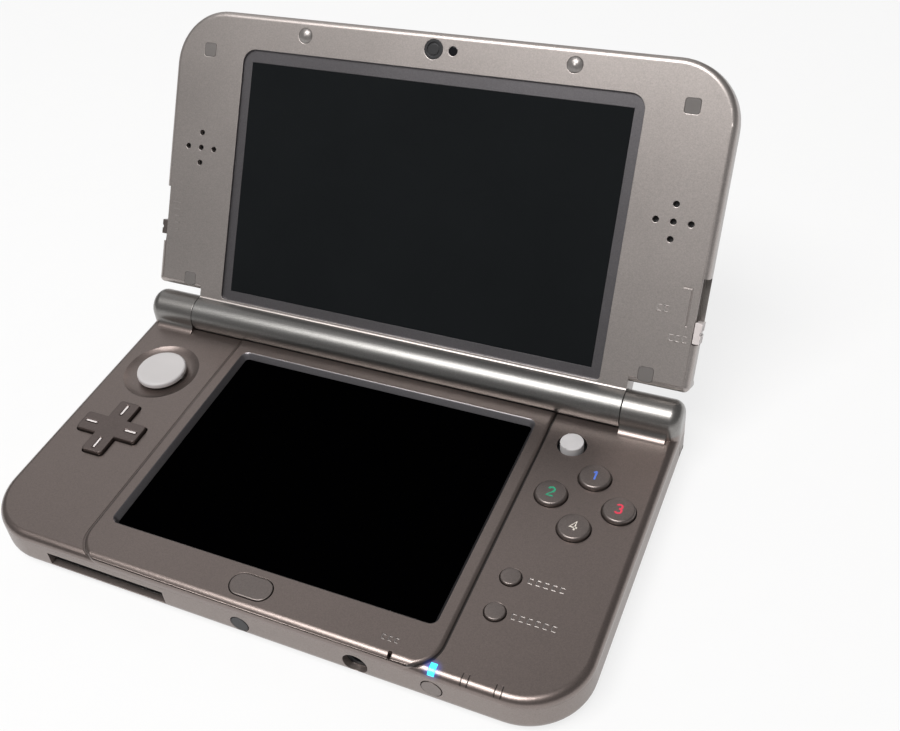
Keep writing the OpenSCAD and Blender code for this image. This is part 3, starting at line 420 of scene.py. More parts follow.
@dataclass(frozen=True)
class DeckLacquer(Lacquer):
    """Lacquer of the upper shell, with painted shade round the foot of the raised middle and a painted glow
    round the lit status lamp.
    """

    # colour and reach of the painted glow round the lit lamp
    shine: Colour = (0.02, 0.12, 0.9)
    reach: Spot = (0.6, 3.2)
    knuckle: Colour = (0.25, 0.24, 0.23)
    well: Colour = (0.26, 0.248, 0.262)
    # painted shade: near-black laid in the line round the raised middle and up the foot of its side, fading
    # out below its top, stronger on the right side than on the left
    foot: Colour = (0.02, 0.017, 0.016)
    shade_start: Spot = (-0.2, 0.02)
    shade_end: Spot = (0.38, 0.46)
    shade_floor: Spot = (10.85, 11.0)
    shade_top: Spot = (11.75, 11.95)
    left_shade: float = 0.2
    right_shade: float = 0.9
    rim_z: float = 11.97
    knuckle_z: Spot = (12.0, 12.8)

    def tone(self, graph: Graph, place: Wire) -> Wire:
        """Gives the colour of the decks, the knuckles, the window's rim and the line round the middle, with
        painted shade in that line.

        Args:
            graph: the graph being built.
            place: the coordinates.

        Returns:
            The colour.
        """
        axes = graph.axes(place)
        across, up = axes[0] * (1.0 / MM), axes[2] * (1.0 / MM)
        line = graph.outside(place, (0.0, 0.0), FOOT_SIZE, FOOT_R)
        # painted shade along the line round the raised middle, fading up its side and weaker on the left
        shade = line.ramp(*self.shade_start) * (1.0 - line.ramp(*self.shade_end)) * up.ramp(*self.shade_floor)
        side = across.ramp(-1.0, 1.0) * (self.right_shade - self.left_shade) + self.left_shade
        shade = shade * side * (1.0 - up.ramp(*self.shade_top))
        rim = graph.outside(place, (0.0, WELL_Y), WELL_SIZE, WELL_R).below(0.0) * up.below(self.rim_z)
        deck = graph.blend(rim, graph.blend(shade, self.colour, self.foot), self.well)
        return graph.blend(up.ramp(*self.knuckle_z), deck, self.knuckle)

    def glow(self, graph: Graph, place: Wire) -> Dict[str, Term]:
        """Gives the emission sockets of the painted pool of blue light round the lit lamp."""
        near = 1.0 - graph.distance(place, LAMP_PLACE).ramp(*self.reach)
        return {"Emission Color": graph.blend(near ** 3.0, (0.0, 0.0, 0.0), self.shine),
                "Emission Strength": 1.0}


@dataclass(frozen=True)
class LampLacquer(Lacquer):
    """Lacquer over a dark lamp, with a dark joint along both of its sides."""

    places: Tuple[float, ...] = (55.4, 63.0)
    half: float = 0.62
    blur: float = 0.06
    joint: Colour = (0.025, 0.021, 0.019)

    def tone(self, graph: Graph, place: Wire) -> Wire:
        """Gives the deck's colour between two dark lines.

        Args:
            graph: the graph being built.
            place: the coordinates.

        Returns:
            The colour.
        """
        across = graph.axes(place)[0] * (1.0 / MM)
        aside = abs(across - self.places[0])
        for other in self.places[1:]:
            aside = aside.smallest(abs(across - other))
        share = aside.ramp(self.half - self.blur, self.half + self.blur)
        return graph.blend(share, self.colour, self.joint)


@dataclass(frozen=True)
class LidLacquer(Lacquer):
    """Lacquer of the inner lid shell: light face, dark barrel and the sunk surround of the window."""

    barrel: Colour = (0.25, 0.245, 0.238)
    barrel_rough: float = 0.35
    surround: Colour = (0.165, 0.157, 0.165)
    barrel_gap: float = 0.12
    sunk_half: float = 58.0
    sunk_up: Spot = (5.9, 78.6)
    sunk_height: Spot = (-0.2, 1.1)

    def tone(self, graph: Graph, place: Wire) -> Wire:
        """Gives the colour of each zone of the shell.

        Args:
            graph: the graph being built.
            place: the coordinates.

        Returns:
            The colour.
        """
        across, up, height = graph.lid_axes(place)
        sunk = abs(across).below(self.sunk_half)
        for part, (low, high) in ((height, self.sunk_height), (up, self.sunk_up)):
            sunk = sunk * part.below(high) * (1.0 - part.below(low))
        face = graph.blend(sunk, self.colour, self.surround)
        return graph.blend(self.on_barrel(graph, place), face, self.barrel)

    def on_barrel(self, graph: Graph, place: Wire) -> Wire:
        """Gives 1 on the barrel and 0 elsewhere."""
        up, height = graph.lid_axes(place)[1:]
        return ((up * up + height * height) ** 0.5).below(BARREL_R + self.barrel_gap)

    def rough(self, graph: Graph, place: Wire) -> Wire:
        """Gives the roughness, lower on the barrel."""
        return self.roughness + self.on_barrel(graph, place) * (self.barrel_rough - self.roughness)


@dataclass(frozen=True)
class Moulded:
    """Plain moulded plastic with a fine spark-eroded grain."""

    name: str
    colour: Colour
    roughness: float = 0.45
    scale: float = 1800.0
    detail: float = 4.0
    fineness: float = 0.6
    cloud_scale: float = 60.0
    tints: Spot = (0.93, 1.05)
    grain_rough: float = 0.12
    bump_high: float = 0.00001
    bump_share: float = 0.6
    sheen: float = 0.0

    def build(self) -> bpy.types.Material:
        """Returns the material."""
        graph = Graph(self.name)
        place = graph.place()
        grain = graph.noise(place, self.scale, self.detail, self.fineness)
        cloud = graph.noise(place, self.cloud_scale)
        tone = graph.blend(cloud, *(tint(self.colour, share) for share in self.tints))
        return graph.surface({
            "Base Color": tone,
            "Roughness": self.roughness + grain.swing(self.grain_rough),
            "Sheen Weight": self.sheen,
            "Normal": graph.bump(grain, self.bump_high, self.bump_share),
        })


@dataclass(frozen=True)
class Rubber(Moulded):
    """Soft matt rubber."""

    roughness: float = 0.62
    scale: float = 1500.0
    detail: float = 5.0
    fineness: float = 0.65
    cloud_scale: float = 300.0
    tints: Spot = (0.9, 1.12)
    grain_rough: float = 0.2
    bump_high: float = 0.00002
    bump_share: float = 0.5
    sheen: float = 0.15


@dataclass(frozen=True)
class Screen:
    """Switched-off display behind smooth plastic."""

    name: str
    colour: Colour
    roughness: float = 0.12
    gloss: float = 0.5
    tints: Spot = (0.86, 1.14)
    smear_rough: float = 0.08
    fine_rough: float = 0.03

    def build(self) -> bpy.types.Material:
        """Returns the screen material."""
        graph = Graph(self.name)
        place = graph.place()
        smear = graph.noise(place, scale=35.0, detail=4.0, roughness=0.6)
        fine = graph.noise(place, scale=420.0)
        tone = graph.blend(smear, *(tint(self.colour, share) for share in self.tints))
        return graph.surface({
            "Base Color": tone,
            "Roughness": self.roughness + smear.swing(self.smear_rough) + fine.swing(self.fine_rough),
            "Specular IOR Level": self.gloss,
        })


@dataclass(frozen=True)
class BareMetal:
    """Uncoated metal with fine brushing along X."""

    name: str
    colour: Colour
    roughness: float = 0.3
    dark_share: float = 0.85
    brush_rough: float = 0.15
    brush_scale: Point = (60.0, 2500.0, 2500.0)

    def build(self) -> bpy.types.Material:
        """Returns the metal material."""
        graph = Graph(self.name)
        place = graph.place()
        stretched = graph.add("ShaderNodeMapping", None, {"Vector": place, "Scale": self.brush_scale})
        brush = graph.noise(stretched, scale=1.0, detail=3.0, roughness=0.6)
        tone = graph.blend(brush, tint(self.colour, self.dark_share), self.colour)
        return graph.surface({
            "Base Color": tone,
            "Metallic": 1.0,
            "Roughness": self.roughness + brush.swing(self.brush_rough),
            "Normal": graph.bump(brush, distance=0.000006, strength=0.4),
        })


@dataclass(frozen=True)
class Lamp:
    """Clear lamp window, lit or dark."""

    name: str
    colour: Colour
    strength: float
    roughness: float = 0.22
    cloud_rough: float = 0.1
    dark_share: float = 0.85
    coat: float = 0.5

    def build(self) -> bpy.types.Material:
        """Returns the lamp material."""
        graph = Graph(self.name)
        cloud = graph.noise(graph.place(), scale=700.0)
        tone = graph.blend(cloud, tint(self.colour, self.dark_share), self.colour)
        return graph.surface({
            "Base Color": tone,
            "Roughness": self.roughness + cloud * self.cloud_rough,
            "Emission Color": tone,
            "Emission Strength": self.strength,
            "Coat Weight": self.coat,
        })


@dataclass(frozen=True)
class Circuit:
    """Green circuit board with printed tracks and pads."""

    name: str
    colour: Colour
    pad_colour: Colour = (0.62, 0.5, 0.25)
    pad_size: float = 0.16
    pad_metal: float = 0.9
    pad_smooth: float = 0.2
    roughness: float = 0.5
    track_share: float = 0.5
    track_light: float = 1.6

    def build(self) -> bpy.types.Material:
        """Returns the board material."""
        graph = Graph(self.name)
        place = graph.place()
        tracks = graph.add("ShaderNodeTexBrick", {"offset": 0.5}, {
            "Vector": place, "Scale": 320.0, "Mortar Size": 0.06, "Color1": (0.0, 0.0, 0.0, 1.0),
            "Color2": (0.15, 0.15, 0.15, 1.0), "Mortar": (1.0, 1.0, 1.0, 1.0)}, "Fac")
        dots = graph.cells(place, scale=420.0, output="Distance").below(self.pad_size)
        tone = graph.blend(tracks * self.track_share, self.colour, tint(self.colour, self.track_light))
        return graph.surface({
            "Base Color": graph.blend(dots, tone, self.pad_colour),
            "Metallic": dots * self.pad_metal,
            "Roughness": self.roughness - dots * self.pad_smooth,
            "Normal": graph.bump(tracks, distance=0.00003, strength=0.6),
        })


Finish = Union[Lacquer, Moulded, Screen, BareMetal, Lamp, Circuit]


class Paintbox:
    """Builds each finish once and hands out its material."""

    def __init__(self) -> None:
        """Starts with no material built."""
        self.made: Dict[str, bpy.types.Material] = {}

    def get(self, finish: Finish) -> bpy.types.Material:
        """Gives a finish's material.

        Args:
            finish: the finish.

        Returns:
            Its material.
        """
        if finish.name not in self.made:
            self.made[finish.name] = finish.build()
        return self.made[finish.name]


DECK_TONE = (0.235, 0.19, 0.174)
DECK = DeckLacquer("deck_lacquer", DECK_TONE, metallic=0.92, roughness=0.35, coat=0.7)
# lower shell and battery door: lacquer lighter than the deck's, a painted reflection that makes the front
# wall bright
CASE = Lacquer("case_lacquer", (0.285, 0.243, 0.226), metallic=0.75, roughness=0.4)
# raised marks in lacquers lighter than their shells: painted highlight for the glint on their tops
MARK_GLINT = Lacquer("mark_glint_lacquer", (0.36, 0.325, 0.31), metallic=0.8, roughness=0.33, coat=0.4)
LID_MARK_GLINT = Lacquer("lid_mark_glint_lacquer", (0.56, 0.52, 0.5), metallic=0.85, roughness=0.36, coat=0.4)
LID_FACE = LidLacquer("lid_face_lacquer", (0.475, 0.432, 0.412), metallic=0.92, roughness=0.42)
LID_BACK = Lacquer("lid_back_lacquer", (0.36, 0.33, 0.31), metallic=0.8, roughness=0.36, coat=0.4)
KEYS = Lacquer("key_lacquer", (0.23, 0.197, 0.185), metallic=0.9, roughness=0.38, coat=0.2)
CROSS = Lacquer("cross_lacquer", (0.18, 0.146, 0.136), metallic=0.9, roughness=0.38, coat=0.2)
SILVER_DOME = Lacquer("dome_lacquer", (0.3, 0.28, 0.27), metallic=0.6, roughness=0.34)
PALE = Moulded("pale_cap", (0.6, 0.58, 0.58), 0.42)
PALE_NUB = Rubber("pale_nub", (0.6, 0.585, 0.59), 0.55)
PALE_KNOB = Moulded("pale_knob", (0.72, 0.66, 0.65), 0.4)
BLACK = Moulded("black_plastic", (0.02, 0.02, 0.022), 0.45)
SMOKED = Screen("smoked_plastic", (0.018, 0.006, 0.01), 0.1)
CONTACT = Rubber("contact_rubber", (0.1, 0.1, 0.105))
PAD_RUBBER = Rubber("pad_rubber", (0.15, 0.138, 0.132))
CELL = Moulded("cell_case", (0.05, 0.05, 0.06), 0.5)
STEEL = BareMetal("steel", (0.62, 0.61, 0.6))
GOLD = BareMetal("gold", (0.83, 0.62, 0.28), 0.22)
SCREW = BareMetal("screw_steel", (0.4, 0.39, 0.38), 0.38)
FILM = Moulded("amber_film", (0.42, 0.2, 0.05), 0.35)
LOWER_SCREEN = Screen("lower_screen", (0.0003, 0.0003, 0.0004), 0.3, 0.0)
UPPER_SCREEN = Screen("upper_screen", (0.0102, 0.0115, 0.0125), 0.3, 0.02)
LENS = Screen("lens_glass", (0.006, 0.006, 0.008), 0.05, 0.6)
LIT = Lamp("lit_lamp", (0.05, 0.62, 0.95), 1.6)
DARK_LAMP = LampLacquer("dark_lamp_lacquer", DECK_TONE, metallic=0.92, roughness=0.35, coat=0.7)
BOARD = Circuit("board_lacquer", (0.02, 0.13, 0.06))
BLUE_INK = Moulded("blue_ink", (0.11, 0.21, 0.74), 0.5)
GREEN_INK = Moulded("green_ink", (0.03, 0.36, 0.2), 0.5)
RED_INK = Moulded("red_ink", (0.84, 0.06, 0.11), 0.5)
CREAM_INK = Moulded("cream_ink", (0.8, 0.74, 0.66), 0.5)
PALE_INK = Moulded("pale_ink", (0.86, 0.8, 0.79), 0.45)


class Bench:
    """Makes pieces from meshes and puts them on their bodies."""

    merge = 2e-6
    flat_turn = math.radians(0.04)
    sharp_turn = math.radians(22.0)
    stroke_step = 0.006

    def __init__(self, paint: Paintbox) -> None:
        """Keeps the materials and slots, and makes the two trees.

        Args:
            paint: the finishes' materials.
        """
        self.paint = paint
        self.slots = {row["node"]: row["material_slot"] for row in frame["record"]["subparts"]}
        self.rows = rows_tree()
        self.ribbon = ribbon_tree()

    def piece(self, name: str, shape: bmesh.types.BMesh, body: str, finish: Finish,
              slot: Optional[str] = None) -> bpy.types.Object:
        """Turns a finished mesh in row-frame metres into a piece.

        Args:
            name: the piece's name.
            shape: its mesh, which is freed.
            body: the CAD body it rides on.
            finish: its finish.
            slot: the record's material slot, if any; not used.

        Returns:
            The piece.
        """
        mesh = bpy.data.meshes.new(name)
        shape.to_mesh(mesh)
        shape.free()
        mesh.shade_smooth()
        mesh.set_sharp_from_angle(angle=self.sharp_turn)
        mesh.materials.append(self.paint.get(finish))
        made = placed(name, mesh)
        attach(made, body)
        log.info("piece %s: %d faces", name, len(mesh.polygons))
        return made

    def skin(self, name: str, node: str, finish: Finish, edge: float = 0.1,
             shift: Optional[Callable[[Vector], Vector]] = None) -> bpy.types.Object:
        """Makes a merged copy of a CAD node with softened edges that stands for the node.

        Args:
            name: the piece's name.
            node: the CAD node.
            finish: its finish.
            edge: width of the edge softening in millimetres.
            shift: moves each point, in millimetres, to where the photograph has it.

        Returns:
            The piece.
        """
        source = frame["nodes"][node]
        shape = bmesh.new()
        shape.from_mesh(source.data)
        bmesh.ops.remove_doubles(shape, verts=shape.verts, dist=self.merge)
        bmesh.ops.dissolve_limit(shape, angle_limit=self.flat_turn, verts=shape.verts, edges=shape.edges,
                                 delimit={"NORMAL"})
        sharp = [e for e in shape.edges
                 if len(e.link_faces) == 2 and e.calc_face_angle(0.0) > self.sharp_turn]
        bmesh.ops.bevel(shape, geom=sharp, offset=edge * MM, offset_type="OFFSET", segments=2,
                        profile=0.6, affect="EDGES", clamp_overlap=False, harden_normals=False)
        low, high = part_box(node)
        for vert in shape.verts:
            vert.co = [min(max(value, a), b) for value, a, b in zip(vert.co, low, high)]
        if shift:
            for vert in shape.verts:
                vert.co = shift(vert.co / MM) * MM
        made = self.piece(name, shape, source["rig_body"], finish, self.slots.get(node))
        weigh = made.modifiers.new("weigh", "WEIGHTED_NORMAL")
        weigh.keep_sharp = True
        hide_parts(node)
        return made

    def skins(self, rows: Sequence[tuple]) -> None:
        """Makes a skin for each row: its name, node, finish, edge and, for some, its shift."""
        for row in rows:
            self.skin(*row)

    def array(self, name: str, unit: bmesh.types.BMesh, body: str, finish: Finish, place: Matrix,
              columns: int, step: Point, rows: int = 1,
              row_step: Point = (0.0, 0.0, 0.0)) -> bpy.types.Object:
        """Sets a unit out in rows and makes it one piece.

        Args:
            name: the piece's name.
            unit: one unit, in millimetres of its own frame.
            body: the CAD body it rides on.
            finish: its finish.
            place: matrix from the unit's millimetres to row-frame metres.
            columns: units in a row.
            step: shift from unit to unit.
            rows: number of rows.
            row_step: shift from row to row.

        Returns:
            The piece.
        """
        values = {"Columns": columns, "Step": step, "Rows": rows, "Row Step": row_step,
                  "Material": self.paint.get(finish)}
        shape = self.rows.run(unit, values)
        shape.transform(place)
        return self.piece(name, shape, body, finish)

    def strokes(self, name: str, paths: Sequence[Sequence[Spot]], width: float, height: float,
                body: str, finish: Finish, place: Matrix) -> bpy.types.Object:
        """Draws flat ribbons along paths and makes them one piece.

        Args:
            name: the piece's name.
            paths: points of each stroke, in millimetres.
            width: the ribbon's width.
            height: the ribbon's thickness.
            body: the CAD body it rides on.
            finish: its finish.
            place: matrix from the paths' millimetres to row-frame metres.

        Returns:
            The piece.
        """
        host = bmesh.new()
        for level, path in enumerate(paths):
            points = [host.verts.new((x, y, self.stroke_step * level)) for x, y in path]
            for start, end in zip(points, points[1:]):
                host.edges.new((start, end))
        values = {"Width": width, "Height": height, "Material": self.paint.get(finish)}
        shape = self.ribbon.run(host, values)
        shape.transform(place)
        bmesh.ops.recalc_face_normals(shape, faces=shape.faces)
        return self.piece(name, shape, body, finish)

    def dress(self, node: str, finish: Finish) -> None:
        """Gives a shown CAD node its finish.

        Args:
            node: the CAD node.
            finish: its finish.
        """
        mesh = frame["nodes"][node].data
        mesh.materials.clear()
        mesh.materials.append(self.paint.get(finish))


class FormTree:
    """Geometry Nodes tree with named inputs that turns a small host mesh into a finished one."""

    def __init__(self, name: str, inputs: Dict[str, str]) -> None:
        """Starts the tree and its inputs.

        Args:
            name: the tree's name.
            inputs: kind of socket for each named input.
        """
        self.tree = bpy.data.node_groups.new(name, "GeometryNodeTree")
        face = self.tree.interface
        face.new_socket("Geometry", in_out="INPUT", socket_type="NodeSocketGeometry")
        made = {key: face.new_socket(key, in_out="INPUT", socket_type=kind) for key, kind in inputs.items()}
        self.keys = {key: socket.identifier for key, socket in made.items()}
        face.new_socket("Geometry", in_out="OUTPUT", socket_type="NodeSocketGeometry")
        self.host = self.tree.nodes.new("NodeGroupInput")

    def add(self, kind: str, settings: Optional[dict] = None, inputs: Optional[dict] = None,
            output: Union[int, str] = 0) -> bpy.types.NodeSocket:
        """Adds a node with its settings and inputs, and returns the chosen output."""
        return add_node(self.tree, kind, settings, inputs).outputs[output]

    def given(self, key: str) -> bpy.types.NodeSocket:
        """Returns the socket of a named input."""
        return self.host.outputs[key]

    def end(self, shape: bpy.types.NodeSocket) -> None:
        """Ends the tree in real geometry with its material.

        Args:
            shape: the geometry.
        """
        real = self.add("GeometryNodeRealizeInstances", None, {0: shape})
        values = {"Geometry": real, "Material": self.given("Material")}
        add_node(self.tree, "NodeGroupOutput", None, {0: self.add("GeometryNodeSetMaterial", None, values)})

    def run(self, host: bmesh.types.BMesh, values: Dict[str, object]) -> bmesh.types.BMesh:
        """Runs the tree on a host mesh.

        Args:
            host: the mesh it starts from, which is freed.
            values: value of each named input.

        Returns:
            The finished mesh.
        """
        mesh = bpy.data.meshes.new("host")
        host.to_mesh(mesh)
        host.free()
        made = placed("host", mesh)
        modifier = made.modifiers.new("form", "NODES")
        modifier.node_group = self.tree
        for key, value in values.items():
            modifier[self.keys[key]] = value
        ready = made.evaluated_get(bpy.context.evaluated_depsgraph_get())
        result = bpy.data.meshes.new_from_object(ready)
        made.modifiers.remove(modifier)
        shape = bmesh.new()
        shape.from_mesh(result)
        bpy.data.objects.remove(made)
        bpy.data.meshes.remove(mesh)
        bpy.data.meshes.remove(result)
        return shape


def rows_tree() -> FormTree:
    """Makes the tree that sets a unit out in rows and columns.

    Returns:
        The tree.
    """
    form = FormTree("rows", {"Columns": "NodeSocketInt", "Step": "NodeSocketVector", "Rows": "NodeSocketInt",
                             "Row Step": "NodeSocketVector", "Material": "NodeSocketMaterial"})
    line = form.add("GeometryNodeMeshLine", {"mode": "OFFSET"},
                    {"Count": form.given("Columns"), "Offset": form.given("Step")})
    row = form.add("GeometryNodeInstanceOnPoints", None, {"Points": line, "Instance": form.given("Geometry")})
    solid = form.add("GeometryNodeRealizeInstances", None, {0: row})
    file = form.add("GeometryNodeMeshLine", {"mode": "OFFSET"},
                    {"Count": form.given("Rows"), "Offset": form.given("Row Step")})
    form.end(form.add("GeometryNodeInstanceOnPoints", None, {"Points": file, "Instance": solid}))
    return form


def ribbon_tree() -> FormTree:
    """Makes the tree that gives a path in the XY plane a flat ribbon's section.

    Returns:
        The tree.
    """
    form = FormTree("ribbon", {"Width": "NodeSocketFloat", "Height": "NodeSocketFloat",
                               "Material": "NodeSocketMaterial"})
    path = form.add("GeometryNodeMeshToCurve", None, {0: form.given("Geometry")})
    level = form.add("GeometryNodeSetCurveNormal", {"mode": "Z_UP"}, {0: path})
    section = form.add("GeometryNodeCurvePrimitiveQuadrilateral", None,
                       {"Width": form.given("Width"), "Height": form.given("Height")})
    form.end(form.add("GeometryNodeCurveToMesh", None,
                      {"Curve": level, "Profile Curve": section, "Fill Caps": True}))
    return form


def add(shape: bmesh.types.BMesh, extra: bmesh.types.BMesh) -> None:
    """Adds a mesh to another and frees it.

    Args:
        shape: the mesh that grows.
        extra: the mesh that is added.
    """
    mesh = bpy.data.meshes.new("extra")
    extra.to_mesh(mesh)
    extra.free()
    shape.from_mesh(mesh)
    bpy.data.meshes.remove(mesh)


def prism(outline: Sequence[Spot], low: float, high: float, place: Matrix) -> bmesh.types.BMesh:
    """Extrudes a closed outline.

    Args:
        outline: corners in millimetres, anticlockwise.
        low: lower level.
        high: upper level.
        place: matrix that takes the points to row-frame metres.

    Returns:
        The mesh.
    """
    shape = bmesh.new()
    rings = [[shape.verts.new(place @ Vector((x, y, z))) for x, y in outline] for z in (low, high)]
    shape.faces.new(list(reversed(rings[0])))
    shape.faces.new(rings[1])
    count = len(outline)
    for i in range(count):
        j = (i + 1) % count
        shape.faces.new([rings[0][i], rings[0][j], rings[1][j], rings[1][i]])
    return shape


def rectangle(width: float, depth: float) -> List[Spot]:
    """Gives the corners of a rectangle round the origin, anticlockwise."""
    return [(x * width / 2, y * depth / 2) for x, y in ((-1, -1), (1, -1), (1, 1), (-1, 1))]


def block(width: float, depth: float, high: float, low: float = 0.0) -> bmesh.types.BMesh:
    """Makes a small block round its own origin, in millimetres."""
    return prism(rectangle(width, depth), low, high, Matrix())


RIDGE_SLOPE = 1.6
RIDGE_SINK = 0.02


def ridge(width: float, depth: float, high: float, place: Matrix) -> bmesh.types.BMesh:
    """Makes a low bar whose sides slope in to its top.

    Args:
        width: size of its foot along X.
        depth: size of its foot along Y.
        high: its height.
        place: matrix that puts it in place.

    Returns:
        The mesh.
    """
    slope = RIDGE_SLOPE * high
    shape = block(width, depth, high, -RIDGE_SINK)
    for vert in shape.verts:
        if vert.co.z > 0.0:
            vert.co.x -= math.copysign(slope, vert.co.x)
            vert.co.y -= math.copysign(slope, vert.co.y)
    shape.transform(place)
    return shape


def at(x: float, y: float, z: float, space: Space = Space.BASE, turn: float = 0.0) -> Matrix:
    """Gives the matrix that sets something down at a place in a space, turned by so many degrees."""
    return to_frame(space) @ Matrix.Translation((x, y, z)) @ Matrix.Rotation(math.radians(turn), 4, "Z")


def arc(x: float, y: float, radius: float, start: float, end: float, steps: int = 14) -> List[Spot]:
    """Gives points along an arc round a centre, from one angle in degrees to another."""
    turns = [math.radians(start + (end - start) * i / steps) for i in range(steps + 1)]
    return [(x + radius * math.cos(turn), y + radius * math.sin(turn)) for turn in turns]


@dataclass
class Studio:
    """Floor, lights and the camera at the photograph's angle."""

    focal: float = 45.56
    sensor: float = 36.0
    shift: Spot = (0.0805, -0.0256)
    eye: Point = (118.85, -166.72, 222.75)
    aim: Point = (-5.15, 41.6, 18.19)
    roll: float = -8.52
    world_grey: float = 0.17
    clip: Spot = (0.01, 50.0)
    floor_size: float = 6.0
    floor_drop: float = 0.00005
    floor_dark: Colour = (0.86, 0.86, 0.86)
    floor_light: Colour = (0.9, 0.9, 0.9)
    floor_glow: float = 0.8

    def camera(self) -> None:
        """Makes the camera."""
        data = bpy.data.cameras.new("camera")
        data.lens = self.focal
        data.sensor_width = self.sensor
        data.shift_x, data.shift_y = self.shift
        data.clip_start, data.clip_end = self.clip
        made = placed("camera", data)
        eye = Vector(self.eye) * MM
        ahead = (Vector(self.aim) * MM - eye).normalized()
        right = ahead.cross(Vector((0, 0, 1))).normalized()
        up = right.cross(ahead)
        turn = math.radians(self.roll)
        side = math.cos(turn) * right + math.sin(turn) * up
        top = math.cos(turn) * up - math.sin(turn) * right
        spin = Matrix((side, top, -ahead)).transposed().to_4x4()
        made.matrix_world = Matrix.Translation(eye) @ spin
        bpy.context.scene.camera = made

    def lamp(self, name: str, place: Point, aim: Point, size: Spot, power: float, colour: Colour) -> None:
        """Makes a soft area lamp.

        Args:
            name: the lamp's name.
            place: where it hangs, in metres.
            aim: the point it faces.
            size: width and height in metres.
            power: power in watts.
            colour: its tint.
        """
        data = bpy.data.lights.new(name, "AREA")
        data.shape = "RECTANGLE"
        data.size, data.size_y = size
        data.energy = power
        data.color = colour
        made = placed(name, data)
        made.location = place
        made.rotation_euler = (Vector(aim) - Vector(place)).to_track_quat("-Z", "Y").to_euler()

    def floor(self) -> None:
        """Makes the pale floor that keeps a faint shadow."""
        shape = bmesh.new()
        corners = rectangle(self.floor_size, self.floor_size)
        shape.faces.new([shape.verts.new((x, y, -self.floor_drop)) for x, y in corners])
        mesh = bpy.data.meshes.new("floor")
        shape.to_mesh(mesh)
        shape.free()
        made = placed("floor", mesh)
        graph = Graph("floor_paper")
        grain = graph.noise(graph.place(), scale=120.0)
        paper = graph.blend(grain, self.floor_dark, self.floor_light)
        matt = graph.add("ShaderNodeBsdfDiffuse", None, {"Color": paper})
        bright = graph.add("ShaderNodeEmission", None, {"Color": (1.0, 1.0, 1.0, 1.0), "Strength": 1.0})
        rays = [graph.add("ShaderNodeLightPath", output=which)
                for which in ("Is Camera Ray", "Is Glossy Ray", "Is Transmission Ray")]
        seen = rays[0].largest(rays[1]).largest(rays[2])
        mixed = graph.add("ShaderNodeMixShader", None, {0: seen * self.floor_glow, 1: matt, 2: bright})
        mesh.materials.append(graph.end(mixed))

    def world(self) -> None:
        """Sets the plain grey surroundings."""
        world = bpy.data.worlds.new("surroundings")
        world.use_nodes = True
        back = world.node_tree.nodes["Background"]
        back.inputs["Color"].default_value = (self.world_grey, self.world_grey, self.world_grey, 1.0)
        back.inputs["Strength"].default_value = 1.0
        bpy.context.scene.world = world
        bpy.context.scene.view_settings.view_transform = "Standard"

    def build(self) -> None:
        """Makes everything in the studio."""
        self.world()
        self.floor()
        self.camera()
        self.lamp("key", place=(-0.13, -0.38, 1.02), aim=(0.0, 0.0, 0.02), size=(0.65, 0.5), power=11.2,
                  colour=(1.0, 0.99, 0.98))
        self.lamp("back", place=(-0.45, 0.8, 0.8), aim=(0.0, 0.0, 0.0), size=(1.3, 0.8), power=1.5,
                  colour=(1.0, 1.0, 1.0))


@dataclass
class Assembly:
    """Group of pieces that is made at a bench."""

    bench: Bench


@dataclass
class LowerHalf(Assembly):
    """Shells, battery door and inner pieces of the lower half."""

    shell_edge: float = 0.1
    line_share: float = 0.4
    line_reach: Spot = (-0.05, 0.55)
    line_deep: float = 0.4

    def shallow_line(self, point: Vector) -> Vector:
        """Raises the floor of the line round the raised middle.

        Args:
            point: a point of the upper shell in millimetres.

        Returns:
            The moved point.
        """
        over = [max(abs(part) - (side / 2 - FOOT_R), 0.0) for part, side in zip(point, FOOT_SIZE)]
        line = math.hypot(*over) - FOOT_R
        low, high = self.line_reach
        if low < line < high and WING_Z - self.line_deep < point.z < WING_Z:
            return Vector((point.x, point.y, WING_Z - self.line_share * (WING_Z - point.z)))
        return point

    def build(self) -> None:
        """Makes the lower half."""
        self.bench.skins((
            ("upper_shell", "base_upper", DECK, self.shell_edge, self.shallow_line),
            ("lower_shell", "base_lower", CASE, self.shell_edge),
            ("battery_door", "battery_cover", CASE, self.shell_edge),
            ("door_screws", "cover_screws", SCREW, 0.04),
            ("case_screws", "shell_screws", SCREW, 0.04),
            ("touch_screen", "touch_panel", LOWER_SCREEN, 0.05),
            ("card_cage", "card_reader", STEEL, 0.05),
            ("jack_body", "headphone_jack", BLACK, 0.1),
            ("charge_socket", "charge_port", BLACK, 0.1),
            ("infrared_pane", "ir_window", SMOKED, 0.08),
            ("lit_lamp", "led_lit", LIT, 0.03),
            ("dark_lamps", "led_spare", DARK_LAMP, 0.03)))
        for node, finish in (("lower_display", BLACK), ("main_board", BOARD), ("battery", CELL),
                             ("microphone", BLACK), ("pad_module", BLACK), ("cross_membrane", CONTACT),
                             ("button_membrane", CONTACT), ("nub_module", BLACK), ("hinge_cartridge", STEEL)):
            self.bench.dress(node, finish)


